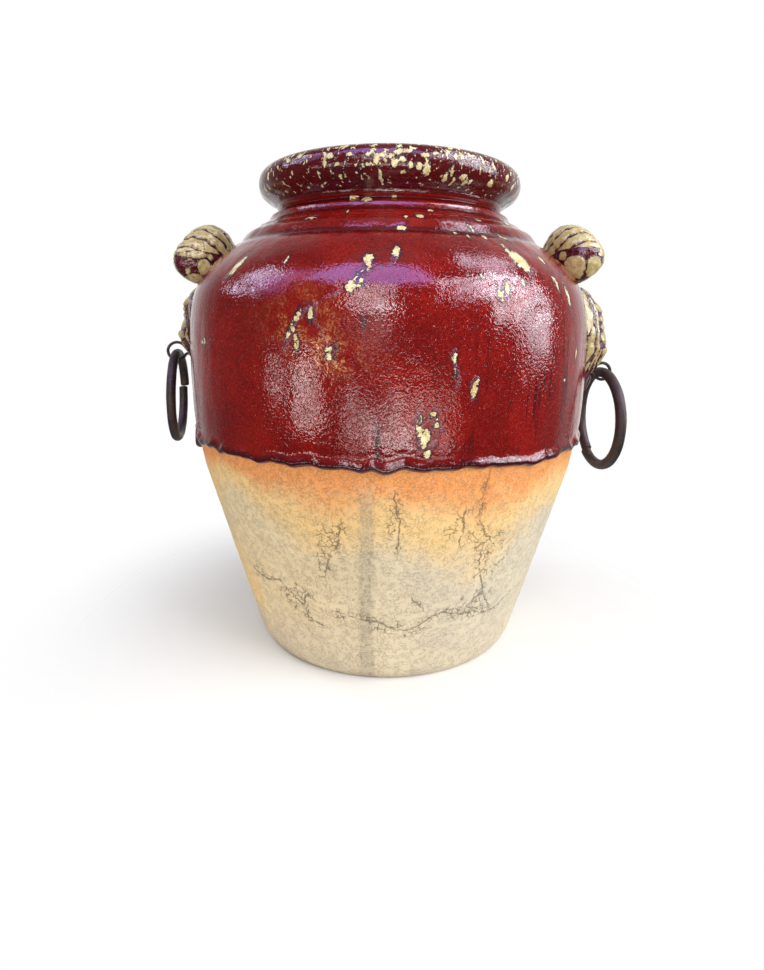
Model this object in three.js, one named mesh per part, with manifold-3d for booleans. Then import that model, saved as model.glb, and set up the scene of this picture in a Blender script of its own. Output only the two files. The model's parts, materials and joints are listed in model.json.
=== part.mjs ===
// Glazed clay garden urn: a thrown pot with a thick glaze coat over its upper half and, on each
// side, a grooved scroll and an acanthus leaf of clay, an iron eye and a loose iron ring.
// Millimetres, +Z up. The foot rests on Z = 0 round the Z axis and the two handles stand on X.
import * as THREE from 'three';
import { mergeVertices } from 'three/addons/utils/BufferGeometryUtils.js';
import Module from 'manifold-3d';

// The thrown pot: heights are stacked from the foot, radii are those of the bare clay
const footRadius = 111.5;
const heelRise = 20;
const heelRadius = 121.5;
const coneRise = 130;
const coneTopRadius = 161;
const bellyRise = 105;
const bellyRadius = 171;
const shoulderRise = 80;
const shoulderRadius = 135.5;
const shoulderFullness = 47;
const neckRise = 33;
const neckRadius = 94;
const wallThickness = 11;
const floorThickness = 15;

// The low ridge on the collar, and the rolled rim above it
const ridgeDrop = 15;
const ridgeHeight = 1.4;
const ridgeHalfWidth = 4;
const rimRise = 22.5;
const rimRollRadius = 97;
const rimRollWidth = 15.2;
const rimRollLower = 12.4;
const rimRollUpper = 12.5;
const mouthRadius = 81.5;
const mouthBevel = 9;

// The glaze coat, with the thick lip where it stopped running, and the drips that hang from it
const glazeThickness = 1.6;
const glazeEdgeHeight = 181;
const glazeLipThickness = 3.6;
const glazeLipHeight = 10;
const glazeLipStart = 0.2;
const glazeWave = 1.5;
const glazeDrips = 8;
const glazeDripHang = 4;
const glazeDripWidth = 0.16;

// The scroll: an arched roll of clay that lies along the shoulder and droops at its two ends. Its
// section swells by a share of its radius where it is pressed onto the pot; that direction is
// given in degrees, downwards from straight outwards.
const scrollRise = { right: 87.5, left: 87.5 };
const scrollDroop = { right: 11, left: 14.5 };
const scrollFlare = 6;
const scrollStand = { right: 30.5, left: 35.5 };
const scrollHalfSpan = 26;
const scrollMiddleRadius = 19.5;
const scrollEndRadius = 18;
const scrollGrooves = 7;
const scrollGrooveDepth = 1.4;
const scrollSeatSwell = 0.4;
const scrollSeatTurn = 130;

// The leaf below it stands proud along its midrib and thins towards its lobed edges
const leafTopRise = 53;
const leafFootDrop = { right: 54, left: 38 };
const leafHalfWidth = 25;
const leafTopHalfWidth = 13;
const leafFootHalfWidth = 5;
const leafWidestAt = 0.4;
const leafTopStand = 6;
const leafShoulderStand = { right: 20.5, left: 21.5 };
const leafShoulderAt = 0.205;
const leafWaistStand = { right: 21.5, left: 19 };
const leafWaistAt = 0.35;
const leafCrestStand = { right: 25, left: 25 };
const leafCrestAt = 0.52;
const leafTailStand = { right: 14.5, left: 15.5 };
const leafTailAt = 0.7;
const leafFootStand = 3;
const leafEdgeStand = 2.4;
const leafLobes = 3;
const leafLobeDepth = 4;
const leafTrim = 2;

// The iron eye set in the foot of the leaf, and the ring of bent rod that hangs in it. The eye's
// stand is how far its wire's middle line comes out of the leaf; its turn is in degrees, inwards
// at the front.
const ringOuterDiameter = { right: 93, left: 87.5 };
const ringRod = { right: 9.2, left: 8.4 };
const ringButtGap = 0.8;
const ringButtOffset = 1.6;
const ringButtAngle = { right: 145, left: 276 };
const eyeDrop = { right: 21.5, left: 8.5 };
const eyeTurn = { right: 8.6, left: 14 };
const eyeWire = 2.8;
const eyePlay = { right: 1.5, left: 2.7 };
const eyeStand = { right: -1.7, left: 0.6 };
const eyeShankRadius = 2.6;
const eyeShankLength = 13;

// Clearances: between pieces that were fired or set together, and where the ring runs
const seatGap = 0.3;
const runGap = 0.6;

// Facet counts
const turns = 40;
const rollSides = 16;
const lipRows = 4;
const capRows = 3;
const stepsPerGroove = 4;
const rodSides = 10;
const rodSteps = 28;
const wireSides = 8;
const wireSteps = 16;
const leafRows = 18;
const leafColumns = 10;

const redGlaze = { color: 0x7a1414, roughness: 0.16, metalness: 0 };
const bareClay = { color: 0xd8c4a0, roughness: 0.9, metalness: 0 };
const creamGlaze = { color: 0xd9be78, roughness: 0.3, metalness: 0 };
const darkIron = { color: 0x2a2422, roughness: 0.6, metalness: 0.85 };

// Heights worked out from the stack
const coneTopHeight = heelRise + coneRise;
const bellyHeight = coneTopHeight + bellyRise;
const shoulderHeight = bellyHeight + shoulderRise;
const neckHeight = shoulderHeight + neckRise;
const rimHeight = neckHeight + rimRise;
const coatReach = seatGap + glazeThickness;

const wasm = await Module();
wasm.setup();

const plane = (x, y) => new THREE.Vector2(x, y);

// Booleans work on closed meshes whose vertices are shared
function toSolid(geometry) {
  const bare = geometry.clone();
  bare.deleteAttribute('normal');
  bare.deleteAttribute('uv');
  const merged = mergeVertices(bare, 1e-4);
  return new wasm.Manifold(new wasm.Mesh({
    numProp: 3,
    vertProperties: new Float32Array(merged.attributes.position.array),
    triVerts: new Uint32Array(merged.index.array),
  }));
}

function fromSolid(solid) {
  const mesh = solid.getMesh();
  const geometry = new THREE.BufferGeometry();
  geometry.setAttribute('position', new THREE.BufferAttribute(mesh.vertProperties, 3));
  geometry.setIndex(new THREE.BufferAttribute(mesh.triVerts, 1));
  return geometry;
}

function piece(name, geometry, finish) {
  geometry.computeVertexNormals();
  const mesh = new THREE.Mesh(geometry, new THREE.MeshStandardMaterial(finish));
  mesh.name = name;
  return mesh;
}

// A closed skin over rows of points. Each row is a loop. The rows either close on each other,
// as a ring does, or start and end on a pole, the middle of the first and the last row.
function skin(rows, closed) {
  const loops = closed ? [...rows, rows[0]] : [pole(rows[0]), ...rows, pole(rows.at(-1))];
  const across = rows[0].length;
  const positions = loops.flat().flatMap((point) => point.toArray());
  const index = [];
  for (let row = 0; row + 1 < loops.length; row += 1) {
    for (let column = 0; column < across; column += 1) {
      const next = (column + 1) % across;
      const [a, b] = [row * across + column, row * across + next];
      index.push(a, b, b + across, a, b + across, a + across);
    }
  }
  const geometry = new THREE.BufferGeometry();
  geometry.setAttribute('position', new THREE.Float32BufferAttribute(positions, 3));
  geometry.setIndex(index);
  return tidySkin(mergeVertices(geometry, 1e-4));
}

function pole(row) {
  const middle = new THREE.Vector3();
  row.forEach((point) => middle.addScaledVector(point, 1 / row.length));
  return row.map(() => middle);
}

// Merged poles leave triangles of no area, which are dropped, and the skin is turned outwards
function tidySkin(geometry) {
  const source = [...geometry.index.array];
  const corner = (i) => new THREE.Vector3().fromBufferAttribute(geometry.attributes.position, i);
  const triangles = [];
  let volume = 0;
  for (let i = 0; i < source.length; i += 3) {
    const [a, b, c] = source.slice(i, i + 3);
    if (a !== b && b !== c && c !== a) {
      triangles.push([a, b, c]);
      volume += corner(a).dot(corner(b).cross(corner(c)));
    }
  }
  geometry.setIndex(triangles.flatMap(([a, b, c]) => (volume > 0 ? [a, b, c] : [a, c, b])));
  return geometry;
}

// A run of (radius, height) points without doubles
function join(...runs) {
  const points = [];
  for (const point of runs.flat()) {
    if (!points.length || points.at(-1).distanceTo(point) > 1e-3) points.push(point);
  }
  return points;
}

// Each point of a run moved along the outward normal, by one distance or by one for each point
function offset(run, distances) {
  return run.map((point, i) => {
    const before = run[Math.max(i - 1, 0)];
    const after = run[Math.min(i + 1, run.length - 1)];
    const along = plane(after.x - before.x, after.y - before.y).normalize();
    const distance = distances[i] ?? distances;
    return plane(point.x + along.y * distance, point.y - along.x * distance);
  });
}

function radiusOn(run, height) {
  const upper = run.findIndex((point, i) => i > 0 && point.y >= height);
  const [low, high] = [run[upper - 1], run[upper]];
  return THREE.MathUtils.mapLinear(height, low.y, high.y, low.x, high.x);
}

// A lathe solid round the Z axis, from a run that starts and ends on the axis
function turned(run) {
  return new THREE.LatheGeometry(run, turns).rotateX(Math.PI / 2);
}

// The clay wall as curves: rounded heel, straight cone, full belly, falling shoulder and collar
function wallCurves() {
  const heelTop = plane(heelRadius, heelRise);
  const coneTop = plane(coneTopRadius, coneTopHeight);
  const belly = plane(bellyRadius, bellyHeight);
  const shoulder = plane(shoulderRadius, shoulderHeight);
  const neck = plane(neckRadius, neckHeight);
  const coneLean = (coneTopRadius - heelRadius) / coneRise;
  const collarLean = (shoulderRadius - neckRadius) / neckRise;
  const shoulderPull = shoulderFullness / 2;
  return {
    heel: new THREE.QuadraticBezierCurve(
      plane(footRadius, 0),
      plane(heelRadius - heelRise * coneLean, 0),
      heelTop,
    ),
    cone: new THREE.LineCurve(heelTop, coneTop),
    belly: new THREE.CubicBezierCurve(
      coneTop,
      coneTop.clone().addScaledVector(plane(coneLean, 1), bellyRise / 4),
      plane(bellyRadius, bellyHeight - bellyRise / 3),
      belly,
    ),
    shoulder: new THREE.CubicBezierCurve(
      belly,
      plane(bellyRadius, bellyHeight + shoulderFullness),
      plane(shoulderRadius + collarLean * shoulderPull, shoulderHeight - shoulderPull),
      shoulder,
    ),
    collar: new THREE.LineCurve(shoulder, neck),
  };
}

// The collar carries one low ridge, left by the thrower's finger
function collarRun(collar) {
  const along = collar.getTangent(0);
  const ridge = collar.v2.clone().addScaledVector(along, -ridgeDrop / along.y);
  return [
    ridge.clone().addScaledVector(along, -ridgeHalfWidth),
    ridge.clone().addScaledVector(plane(along.y, -along.x), ridgeHeight),
    ridge.clone().addScaledVector(along, ridgeHalfWidth),
    collar.v2,
  ];
}

// The rim is a fat roll outside, and bends over the top into the mouth
function rimRun() {
  const under = rimHeight - rimRollLower;
  const undercut = new THREE.QuadraticBezierCurve(
    plane(neckRadius, neckHeight),
    plane(neckRadius, under),
    plane(rimRollRadius, under),
  );
  const intoMouth = Math.PI - Math.asin(1 - mouthBevel / rimRollUpper);
  const rollPart = (rise, from, to) => (
    new THREE.EllipseCurve(rimRollRadius, rimHeight, rimRollWidth, rise, from, to)
  );
  return join(
    undercut.getPoints(2),
    rollPart(rimRollLower, -Math.PI / 2, 0).getPoints(4),
    rollPart(rimRollUpper, 0, intoMouth).getPoints(6),
    [plane(mouthRadius, rimHeight + rimRollUpper - mouthBevel)],
  );
}

const curves = wallCurves();
const smoothWall = join(
  curves.cone.getPoints(1), curves.belly.getPoints(5), curves.shoulder.getPoints(6),
);
const throat = plane(neckRadius - wallThickness, neckHeight);
const outside = join(curves.heel.getPoints(3), smoothWall, collarRun(curves.collar), rimRun());
const inside = offset(join(smoothWall, [curves.collar.v2]), -wallThickness).reverse();
const glazedWall = offset(join(smoothWall, [curves.collar.v2]), coatReach);

// The pot is one turned shell, open at the mouth, with a flat foot and floor
function buildPot() {
  const floorRadius = inside.at(-1).x - wallThickness / 2;
  const run = join(
    [plane(0, 0)], outside, [throat], inside,
    [plane(floorRadius, floorThickness), plane(0, floorThickness)],
  );
  return piece('urn_body', turned(run), bareClay);
}

// Height of the glaze edge round the pot: slow waves, and drips that hang lower. Every second
// drip hangs half as far.
function glazeEdgeAt(angle) {
  const wave = (Math.sin(2 * angle) + Math.sin(5 * angle)) / 2;
  let hang = 0;
  for (let drip = 0; drip < glazeDrips; drip += 1) {
    const turn = angle - ((drip + 0.5) / glazeDrips) * 2 * Math.PI;
    const away = Math.atan2(Math.sin(turn), Math.cos(turn)) / glazeDripWidth;
    const reach = drip % 2 ? glazeDripHang / 2 : glazeDripHang;
    hang += reach * Math.exp(-away * away);
  }
  return glazeEdgeHeight + glazeWave * wave - hang;
}

// The coat follows the clay from its thick lip, over the rim and down to the throat
function buildGlaze() {
  const lipShares = Array.from({ length: lipRows + 1 }, (_, row) => (row / lipRows) ** 1.5);
  const swellAt = (share) => Math.sin(Math.PI * (glazeLipStart + (1 - glazeLipStart) * share));
  const clearOfLip = glazeEdgeHeight + glazeWave + glazeLipHeight;
  const above = [...outside.filter((point) => point.y > clearOfLip), throat];
  const rows = [];
  for (let turn = 0; turn < turns; turn += 1) {
    const angle = (turn / turns) * 2 * Math.PI;
    const lip = lipShares.map((share) => {
      const height = glazeEdgeAt(angle) + glazeLipHeight * share;
      return plane(radiusOn(outside, height), height);
    });
    const covered = [...lip, ...above];
    const reach = covered.map((point, i) => (
      coatReach + (glazeLipThickness - glazeThickness) * swellAt(lipShares[i] ?? 1)
    ));
    const section = [...offset(covered, seatGap).reverse(), ...offset(covered, reach)];
    rows.push(section.map((point) => (
      new THREE.Vector3(point.x * Math.cos(angle), point.x * Math.sin(angle), point.y)
    )));
  }
  return piece('glaze_coat', skin(rows, true), redGlaze);
}

// The glazed wall as one full solid with the seat clearance on it, which cuts what rests on it
function wallCutter() {
  const run = offset(glazedWall, seatGap);
  return toSolid(turned([plane(0, run[0].y), ...run, plane(0, run.at(-1).y)]));
}

// A loop of points round a centre, square to a direction, starting on the side away from the
// pot. The swell is the share by which the radius grows at an angle.
function loopRound(centre, direction, radius, sides, swell = () => 0) {
  const outward = new THREE.Vector3(1, 0, 0).addScaledVector(direction, -direction.x).normalize();
  const sideways = new THREE.Vector3().crossVectors(direction, outward);
  return Array.from({ length: sides }, (_, side) => {
    const angle = (side / sides) * 2 * Math.PI;
    const reach = radius * (1 + swell(angle));
    return centre.clone()
      .addScaledVector(outward, reach * Math.cos(angle))
      .addScaledVector(sideways, reach * Math.sin(angle));
  });
}

// A roll with round ends: its middle line arches over the handle, and grooves go round it
function buildScroll(side, cutter) {
  const towardsPot = THREE.MathUtils.degToRad(scrollSeatTurn);
  const swell = (angle) => scrollSeatSwell * Math.max(0, Math.cos(angle - towardsPot)) ** 3;
  const height = bellyHeight + scrollRise[side];
  const seat = radiusOn(glazedWall, height) + scrollStand[side];
  const centreAt = (share) => new THREE.Vector3(
    seat + scrollFlare * share ** 2,
    scrollHalfSpan * share,
    height - scrollDroop[side] * share ** 2,
  );
  const alongAt = (share) => new THREE.Vector3(
    2 * scrollFlare * share, scrollHalfSpan, -2 * scrollDroop[side] * share,
  ).normalize();
  const cap = (end) => Array.from({ length: capRows }, (_, row) => {
    const angle = ((row + 1) / (capRows + 1)) * (Math.PI / 2);
    const beyond = end * scrollEndRadius * Math.cos(angle);
    const centre = centreAt(end).addScaledVector(alongAt(end), beyond);
    return loopRound(centre, alongAt(end), scrollEndRadius * Math.sin(angle), rollSides, swell);
  });
  const steps = scrollGrooves * stepsPerGroove;
  const body = Array.from({ length: steps + 1 }, (_, step) => {
    const share = (2 * step) / steps - 1;
    const full = THREE.MathUtils.lerp(scrollMiddleRadius, scrollEndRadius, share ** 2);
    const groove = 0.5 - 0.5 * Math.cos((step / stepsPerGroove) * 2 * Math.PI);
    const radius = full - scrollGrooveDepth * groove;
    return loopRound(centreAt(share), alongAt(share), radius, rollSides, swell);
  });
  const roll = toSolid(skin([...cap(-1), ...body, ...cap(1).reverse()], false));
  return piece(`${side}_scroll`, fromSolid(roll.subtract(cutter)), creamGlaze);
}

// How far the leaf's midrib stands off the wall, and its half width, from top (0) to foot (1)
function midribRun(side) {
  return new THREE.SplineCurve([
    plane(leafTopStand, 0), plane(leafShoulderStand[side], leafShoulderAt),
    plane(leafWaistStand[side], leafWaistAt), plane(leafCrestStand[side], leafCrestAt),
    plane(leafTailStand[side], leafTailAt), plane(leafFootStand, 1),
  ]).getPoints(leafRows * 4);
}

const widthRun = new THREE.SplineCurve([
  plane(leafTopHalfWidth, 0), plane(leafHalfWidth, leafWidestAt), plane(leafFootHalfWidth, 1),
]).getPoints(leafRows * 4);

function leafHeights(side) {
  const top = bellyHeight + leafTopRise;
  return { top, length: leafTopRise + leafFootDrop[side] };
}

// A leaf whose front swells to the midrib and thins to lobed edges. Its back is made a little
// too deep, and the wall cuts it to fit.
function buildLeaf(side, cutter) {
  const { top, length } = leafHeights(side);
  const midrib = midribRun(side);
  const rows = Array.from({ length: leafRows + 1 }, (_, row) => {
    const share = row / leafRows;
    const height = top - length * share;
    const wall = radiusOn(glazedWall, height) + seatGap;
    const crest = Math.max(radiusOn(midrib, share), leafEdgeStand);
    const notch = leafLobeDepth * (0.5 + 0.5 * Math.cos(2 * Math.PI * leafLobes * share));
    const halfWidth = Math.max(radiusOn(widthRun, share) - notch, leafFootHalfWidth);
    const point = (across, stand) => {
      const y = halfWidth * across;
      return new THREE.Vector3(Math.sqrt(wall ** 2 - y ** 2) + stand, y, height);
    };
    const shares = Array.from({ length: leafColumns + 1 }, (_x, i) => (2 * i) / leafColumns - 1);
    const front = shares.map((across) => {
      const swell = 1 - Math.abs(across) ** 1.5;
      return point(across, THREE.MathUtils.lerp(leafEdgeStand, crest, swell));
    });
    return [...front, ...shares.reverse().map((across) => point(across, -leafTrim))];
  });
  const leaf = toSolid(skin(rows, false)).subtract(cutter).subtract(eyeSolid(side, seatGap));
  return piece(`${side}_leaf`, fromSolid(leaf), creamGlaze);
}

// Where the eye's loop has its middle, clear of the leaf, and where the ring's rod hangs in it
const eyeLoopRadius = (side) => ringRod[side] / 2 + eyePlay[side] + eyeWire / 2;

function eyeCentre(side) {
  const height = bellyHeight - eyeDrop[side];
  const { top, length } = leafHeights(side);
  const leafFace = radiusOn(glazedWall, height) + seatGap
    + radiusOn(midribRun(side), (top - height) / length);
  return new THREE.Vector3(leafFace + eyeStand[side] + eyeLoopRadius(side), 0, height);
}

// The eye turned about the upright line through its loop, and put in its place
function placeEye(geometry, side) {
  const { x, y, z } = eyeCentre(side);
  return geometry.rotateZ(THREE.MathUtils.degToRad(eyeTurn[side])).translate(x, y, z);
}

// A loop of wire whose two ends run back together as a shank into the leaf. Grown by a
// clearance, the same shape is the socket that the leaf's clay leaves for it.
function eyeSolid(side, growth) {
  const middle = eyeLoopRadius(side);
  const loop = new THREE.TorusGeometry(middle, eyeWire / 2 + growth, wireSides, wireSteps);
  const radius = eyeShankRadius + growth;
  const length = eyeShankLength + growth;
  const shank = new THREE.CylinderGeometry(radius, radius, length, wireSides);
  shank.rotateZ(Math.PI / 2).translate(-middle - length / 2, 0, 0);
  return toSolid(placeEye(loop.rotateX(Math.PI / 2), side)).add(toSolid(placeEye(shank, side)));
}

function buildEye(side) {
  return piece(`${side}_eye`, fromSolid(eyeSolid(side, 0)), darkIron);
}

// A rod bent round until its two ends meet, a little past each other, hanging in its eye
function buildRing(side) {
  const bend = (ringOuterDiameter[side] - ringRod[side]) / 2;
  const gap = ringButtGap / bend;
  const butt = THREE.MathUtils.degToRad(ringButtAngle[side]);
  const pitch = ringButtOffset / (2 * Math.PI);
  const rows = Array.from({ length: rodSteps + 1 }, (_, step) => {
    const angle = butt + gap / 2 + ((2 * Math.PI - gap) * step) / rodSteps;
    const pastTop = angle - 2 * Math.PI;
    const centre = new THREE.Vector3(
      pitch * pastTop, bend * Math.sin(angle), bend * (Math.cos(angle) - 1),
    );
    const along = new THREE.Vector3(pitch, bend * Math.cos(angle), -bend * Math.sin(angle));
    return loopRound(centre, along.normalize(), ringRod[side] / 2, rodSides);
  });
  const { x, y, z } = eyeCentre(side);
  const ring = skin(rows, false).rotateZ(THREE.MathUtils.degToRad(eyeTurn[side]));
  return piece(`${side}_ring`, ring.translate(x, y, z - eyePlay[side] + runGap), darkIron);
}

// One handle is made on +X, and the left one is turned half round
function buildHandle(side, cutter) {
  const handle = new THREE.Group();
  handle.add(buildScroll(side, cutter), buildLeaf(side, cutter), buildEye(side), buildRing(side));
  return handle;
}

const urn = new THREE.Group();
const cutter = wallCutter();
const rightHandle = buildHandle('right', cutter);
const leftHandle = buildHandle('left', cutter);
leftHandle.rotation.z = Math.PI;
urn.add(buildPot(), buildGlaze(), rightHandle, leftHandle);

export default urn;
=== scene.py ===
# %% [markdown]
# # A garden urn with a half coat of oxblood glaze
# The real urn is a thrown clay pot. Its upper half carries a thick coat of copper-red glaze that
# ran down, stopped and froze as a rolled lip; below it the clay is bare. On each side a grooved
# scroll and a leaf of clay were stuck on, and an iron ring hangs in an iron eye. The rigid frame
# comes first: every piece below is made in metres in that frame, in the place of a plain solid.

import json
import math

import bpy
import numpy as np
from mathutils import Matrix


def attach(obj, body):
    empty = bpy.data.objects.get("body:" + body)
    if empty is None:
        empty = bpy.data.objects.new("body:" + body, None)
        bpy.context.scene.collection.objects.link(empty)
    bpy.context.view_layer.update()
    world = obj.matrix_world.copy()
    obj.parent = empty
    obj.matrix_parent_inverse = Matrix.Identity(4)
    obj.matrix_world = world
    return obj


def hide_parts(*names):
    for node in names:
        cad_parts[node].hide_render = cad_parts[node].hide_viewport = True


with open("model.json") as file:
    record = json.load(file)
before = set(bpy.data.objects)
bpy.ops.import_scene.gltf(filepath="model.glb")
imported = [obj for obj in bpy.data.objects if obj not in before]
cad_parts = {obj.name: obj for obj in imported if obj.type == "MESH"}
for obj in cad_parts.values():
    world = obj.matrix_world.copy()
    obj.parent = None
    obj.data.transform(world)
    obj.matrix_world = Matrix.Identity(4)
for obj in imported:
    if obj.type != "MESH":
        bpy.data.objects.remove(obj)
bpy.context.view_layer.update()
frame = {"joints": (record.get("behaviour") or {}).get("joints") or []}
MM = 0.001

# %% [markdown]
# ## Where things are on a round pot
# A thrower thinks in an outline and a turntable. So every place on the pot is an angle round it
# and a height. The angle is 0 at the front, which faces -Y, and grows towards the right handle on
# +X. The outline is a run of points (radius, height) in millimetres, made of the same few Bezier
# curves as the solid pot, so the fine surfaces lie exactly where the frame has them.


# %% Outline helpers
def bezier(controls, count=60):
    """Bezier curve by de Casteljau: neighbouring control points are mixed until one is left."""
    share = np.linspace(0, 1, count)[:, None]
    points = [np.repeat([control], count, axis=0) for control in np.asarray(controls, float)]
    while len(points) > 1:
        points = [(1 - share) * a + share * b for a, b in zip(points, points[1:])]
    return points[0]


def arc(centre, half_width, half_height, start, stop, fullness=2.0, count=60):
    """Part of an oval: centre + (half width cos, half height sin) of an angle in degrees, with
    cos and sin raised to 2 / fullness: 2 gives an ellipse, more gives a squarer oval."""
    angle = np.radians(np.linspace(start, stop, count))
    turn = np.c_[np.cos(angle), np.sin(angle)]
    turn = np.sign(turn) * np.abs(turn) ** (2 / fullness)
    return np.asarray(centre) + turn * [half_width, half_height]


def run_length(run):
    """Distance along a run up to each of its points."""
    return np.r_[0, np.cumsum(np.linalg.norm(np.diff(run, axis=0), axis=1))]


def respace(run, step_at):
    """The run with new points, each one step from the next; step_at gives the step for a height."""
    length = np.linspace(0, run_length(run)[-1], 6000)
    fine = np.c_[[np.interp(length, run_length(run), column) for column in run.T]].T
    count = np.r_[0, np.cumsum(np.diff(length) / step_at(fine[1:, 1]))]
    wanted = np.linspace(0, count[-1], int(count[-1]) + 2)
    return np.c_[np.interp(wanted, count, fine[:, 0]), np.interp(wanted, count, fine[:, 1])]


def outward(run):
    """Unit normals of a run that climbs the outside: its direction turned a quarter clockwise."""
    along = np.gradient(run, axis=0)
    along /= np.linalg.norm(along, axis=1, keepdims=True)
    return np.c_[along[:, 1], -along[:, 0]]


# %% The pot's outline
FOOT_RADIUS = 111.5
HEEL_RADIUS, HEEL_TOP = 121.5, 20.0
CONE_RADIUS, CONE_TOP = 161.0, 150.0
BELLY_RADIUS, BELLY_HEIGHT = 171.0, 255.0
SHOULDER_RADIUS, SHOULDER_HEIGHT, SHOULDER_FULLNESS = 135.5, 335.0, 47.0
NECK_RADIUS, NECK_HEIGHT = 94.0, 368.0
RIM_CENTRE = (97.0, 390.5)
RIM_WIDTH, RIM_BELOW, RIM_ABOVE = 15.2, 12.4, 12.5
MOUTH_RADIUS, MOUTH_BEVEL = 81.5, 9.0
WALL, FLOOR = 11.0, 15.0

cone_lean = (CONE_RADIUS - HEEL_RADIUS) / (CONE_TOP - HEEL_TOP)
collar_lean = (SHOULDER_RADIUS - NECK_RADIUS) / (NECK_HEIGHT - SHOULDER_HEIGHT)
cone_pull = (BELLY_HEIGHT - CONE_TOP) / 4
belly_pull = (BELLY_HEIGHT - CONE_TOP) / 3
collar_pull = SHOULDER_FULLNESS / 2

heel = bezier([(FOOT_RADIUS, 0), (HEEL_RADIUS - HEEL_TOP * cone_lean, 0), (HEEL_RADIUS, HEEL_TOP)])
belly = bezier([
    (CONE_RADIUS, CONE_TOP),
    (CONE_RADIUS + cone_lean * cone_pull, CONE_TOP + cone_pull),
    (BELLY_RADIUS, BELLY_HEIGHT - belly_pull),
    (BELLY_RADIUS, BELLY_HEIGHT),
])
shoulder = bezier([
    (BELLY_RADIUS, BELLY_HEIGHT),
    (BELLY_RADIUS, BELLY_HEIGHT + SHOULDER_FULLNESS),
    (SHOULDER_RADIUS + collar_lean * collar_pull, SHOULDER_HEIGHT - collar_pull),
    (SHOULDER_RADIUS, SHOULDER_HEIGHT),
])
under_rim = RIM_CENTRE[1] - RIM_BELOW
undercut = bezier([(NECK_RADIUS, NECK_HEIGHT), (NECK_RADIUS, under_rim), (RIM_CENTRE[0], under_rim)])
mouth_angle = 180 - math.degrees(math.asin(1 - MOUTH_BEVEL / RIM_ABOVE))
rim = np.vstack([
    arc(RIM_CENTRE, RIM_WIDTH, RIM_BELOW, -90, 0),
    arc(RIM_CENTRE, RIM_WIDTH, RIM_ABOVE, 0, 90, 2.5)[1:],
    arc(RIM_CENTRE, RIM_WIDTH, RIM_ABOVE, 90, mouth_angle)[1:],
    [(MOUTH_RADIUS, RIM_CENTRE[1] + RIM_ABOVE - MOUTH_BEVEL)],
])
wall = np.vstack([heel, belly, shoulder[1:], undercut, rim[1:]])
throat = (NECK_RADIUS - WALL, NECK_HEIGHT)
wall_below_rim = np.vstack([heel, belly, shoulder[1:], [(NECK_RADIUS, NECK_HEIGHT)]])


def wall_radius(height):
    """Radius of the bare clay outside, at a height under the rim."""
    return np.interp(height, wall_below_rim[:, 1], wall_below_rim[:, 0])


print("outline:", len(wall), "points, from radius", wall[0], "to", wall[-1])

# %% [markdown]
# ## Turning outlines into meshes
# Each surface is a grid: rows along one direction, columns round another. Neighbouring grid
# points are joined by quads in one array step, without a loop over vertices. Rows either close on
# each other like a ring doughnut, or both ends are closed by a fan of triangles on a middle point.
# The sign of the enclosed volume says whether the faces point outwards, and they are flipped if
# not. Named fields, one number for each vertex, ride along for the materials to read.


# %% Mesh helpers
def outward_faces(points, quads, triangles):
    """Flips all faces if the volume they enclose, the sum of a . (b x c) / 6, is negative."""
    halves = [quads[:, [0, 1, 2]], quads[:, [0, 2, 3]], triangles]
    a, b, c = points[np.vstack(halves)].transpose(1, 0, 2)
    if np.einsum("ij,ij->", a, np.cross(b, c)) < 0:
        return quads[:, ::-1], triangles[:, ::-1]
    return quads, triangles


def make_piece(name, points, fields=None, body="urn", stands_for=(), ring=False):
    """One closed mesh over a grid of points (rows, columns, xyz) in millimetres."""
    rows, columns = points.shape[:2]
    index = np.arange(rows * columns).reshape(rows, columns)
    low, high = (index, np.roll(index, -1, axis=0)) if ring else (index[:-1], index[1:])
    quads = np.stack([low, np.roll(low, -1, 1), np.roll(high, -1, 1), high], axis=-1).reshape(-1, 4)
    places = points.reshape(-1, 3)
    triangles = np.empty((0, 3), int)
    if not ring:
        ends = np.stack([points[0].mean(axis=0), points[-1].mean(axis=0)])
        first, last = index[0], index[-1]
        start_fan = np.c_[np.full(columns, rows * columns), np.roll(first, -1), first]
        end_fan = np.c_[np.full(columns, rows * columns + 1), last, np.roll(last, -1)]
        places, triangles = np.vstack([places, ends]), np.vstack([start_fan, end_fan])
    quads, triangles = outward_faces(places, quads, triangles)
    mesh = bpy.data.meshes.new(name)
    mesh.vertices.add(len(places))
    mesh.vertices.foreach_set("co", (places * MM).ravel())
    corners = np.concatenate([quads.ravel(), triangles.ravel()])
    starts = np.concatenate([
        np.arange(len(quads)) * 4, len(quads) * 4 + np.arange(len(triangles)) * 3,
    ])
    mesh.loops.add(len(corners))
    mesh.loops.foreach_set("vertex_index", corners)
    mesh.polygons.add(len(starts))
    mesh.polygons.foreach_set("loop_start", starts)
    mesh.update(calc_edges=True)
    mesh.shade_smooth()
    for field, values in (fields or {}).items():
        flat = values.ravel()
        if not ring:
            flat = np.r_[flat, values[0].mean(), values[-1].mean()]
        mesh.attributes.new(field, "FLOAT", "POINT").data.foreach_set("value", flat)
    piece = bpy.data.objects.new(name, mesh)
    bpy.context.scene.collection.objects.link(piece)
    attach(piece, body)
    if stands_for:
        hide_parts(*stands_for)
    print(f"{name}: {len(quads) * 2 + len(triangles)} triangles")
    return piece


def once_round(count):
    """Evenly spaced angles in radians, one for each column of a grid."""
    return np.linspace(0, 2 * np.pi, count, endpoint=False)[None, :]


def round_the_pot(radius, angle, height):
    """Places from radius, front angle in radians and height: (r sin, -r cos, height)."""
    return np.stack(np.broadcast_arrays(radius * np.sin(angle), -radius * np.cos(angle), height), -1)


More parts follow.
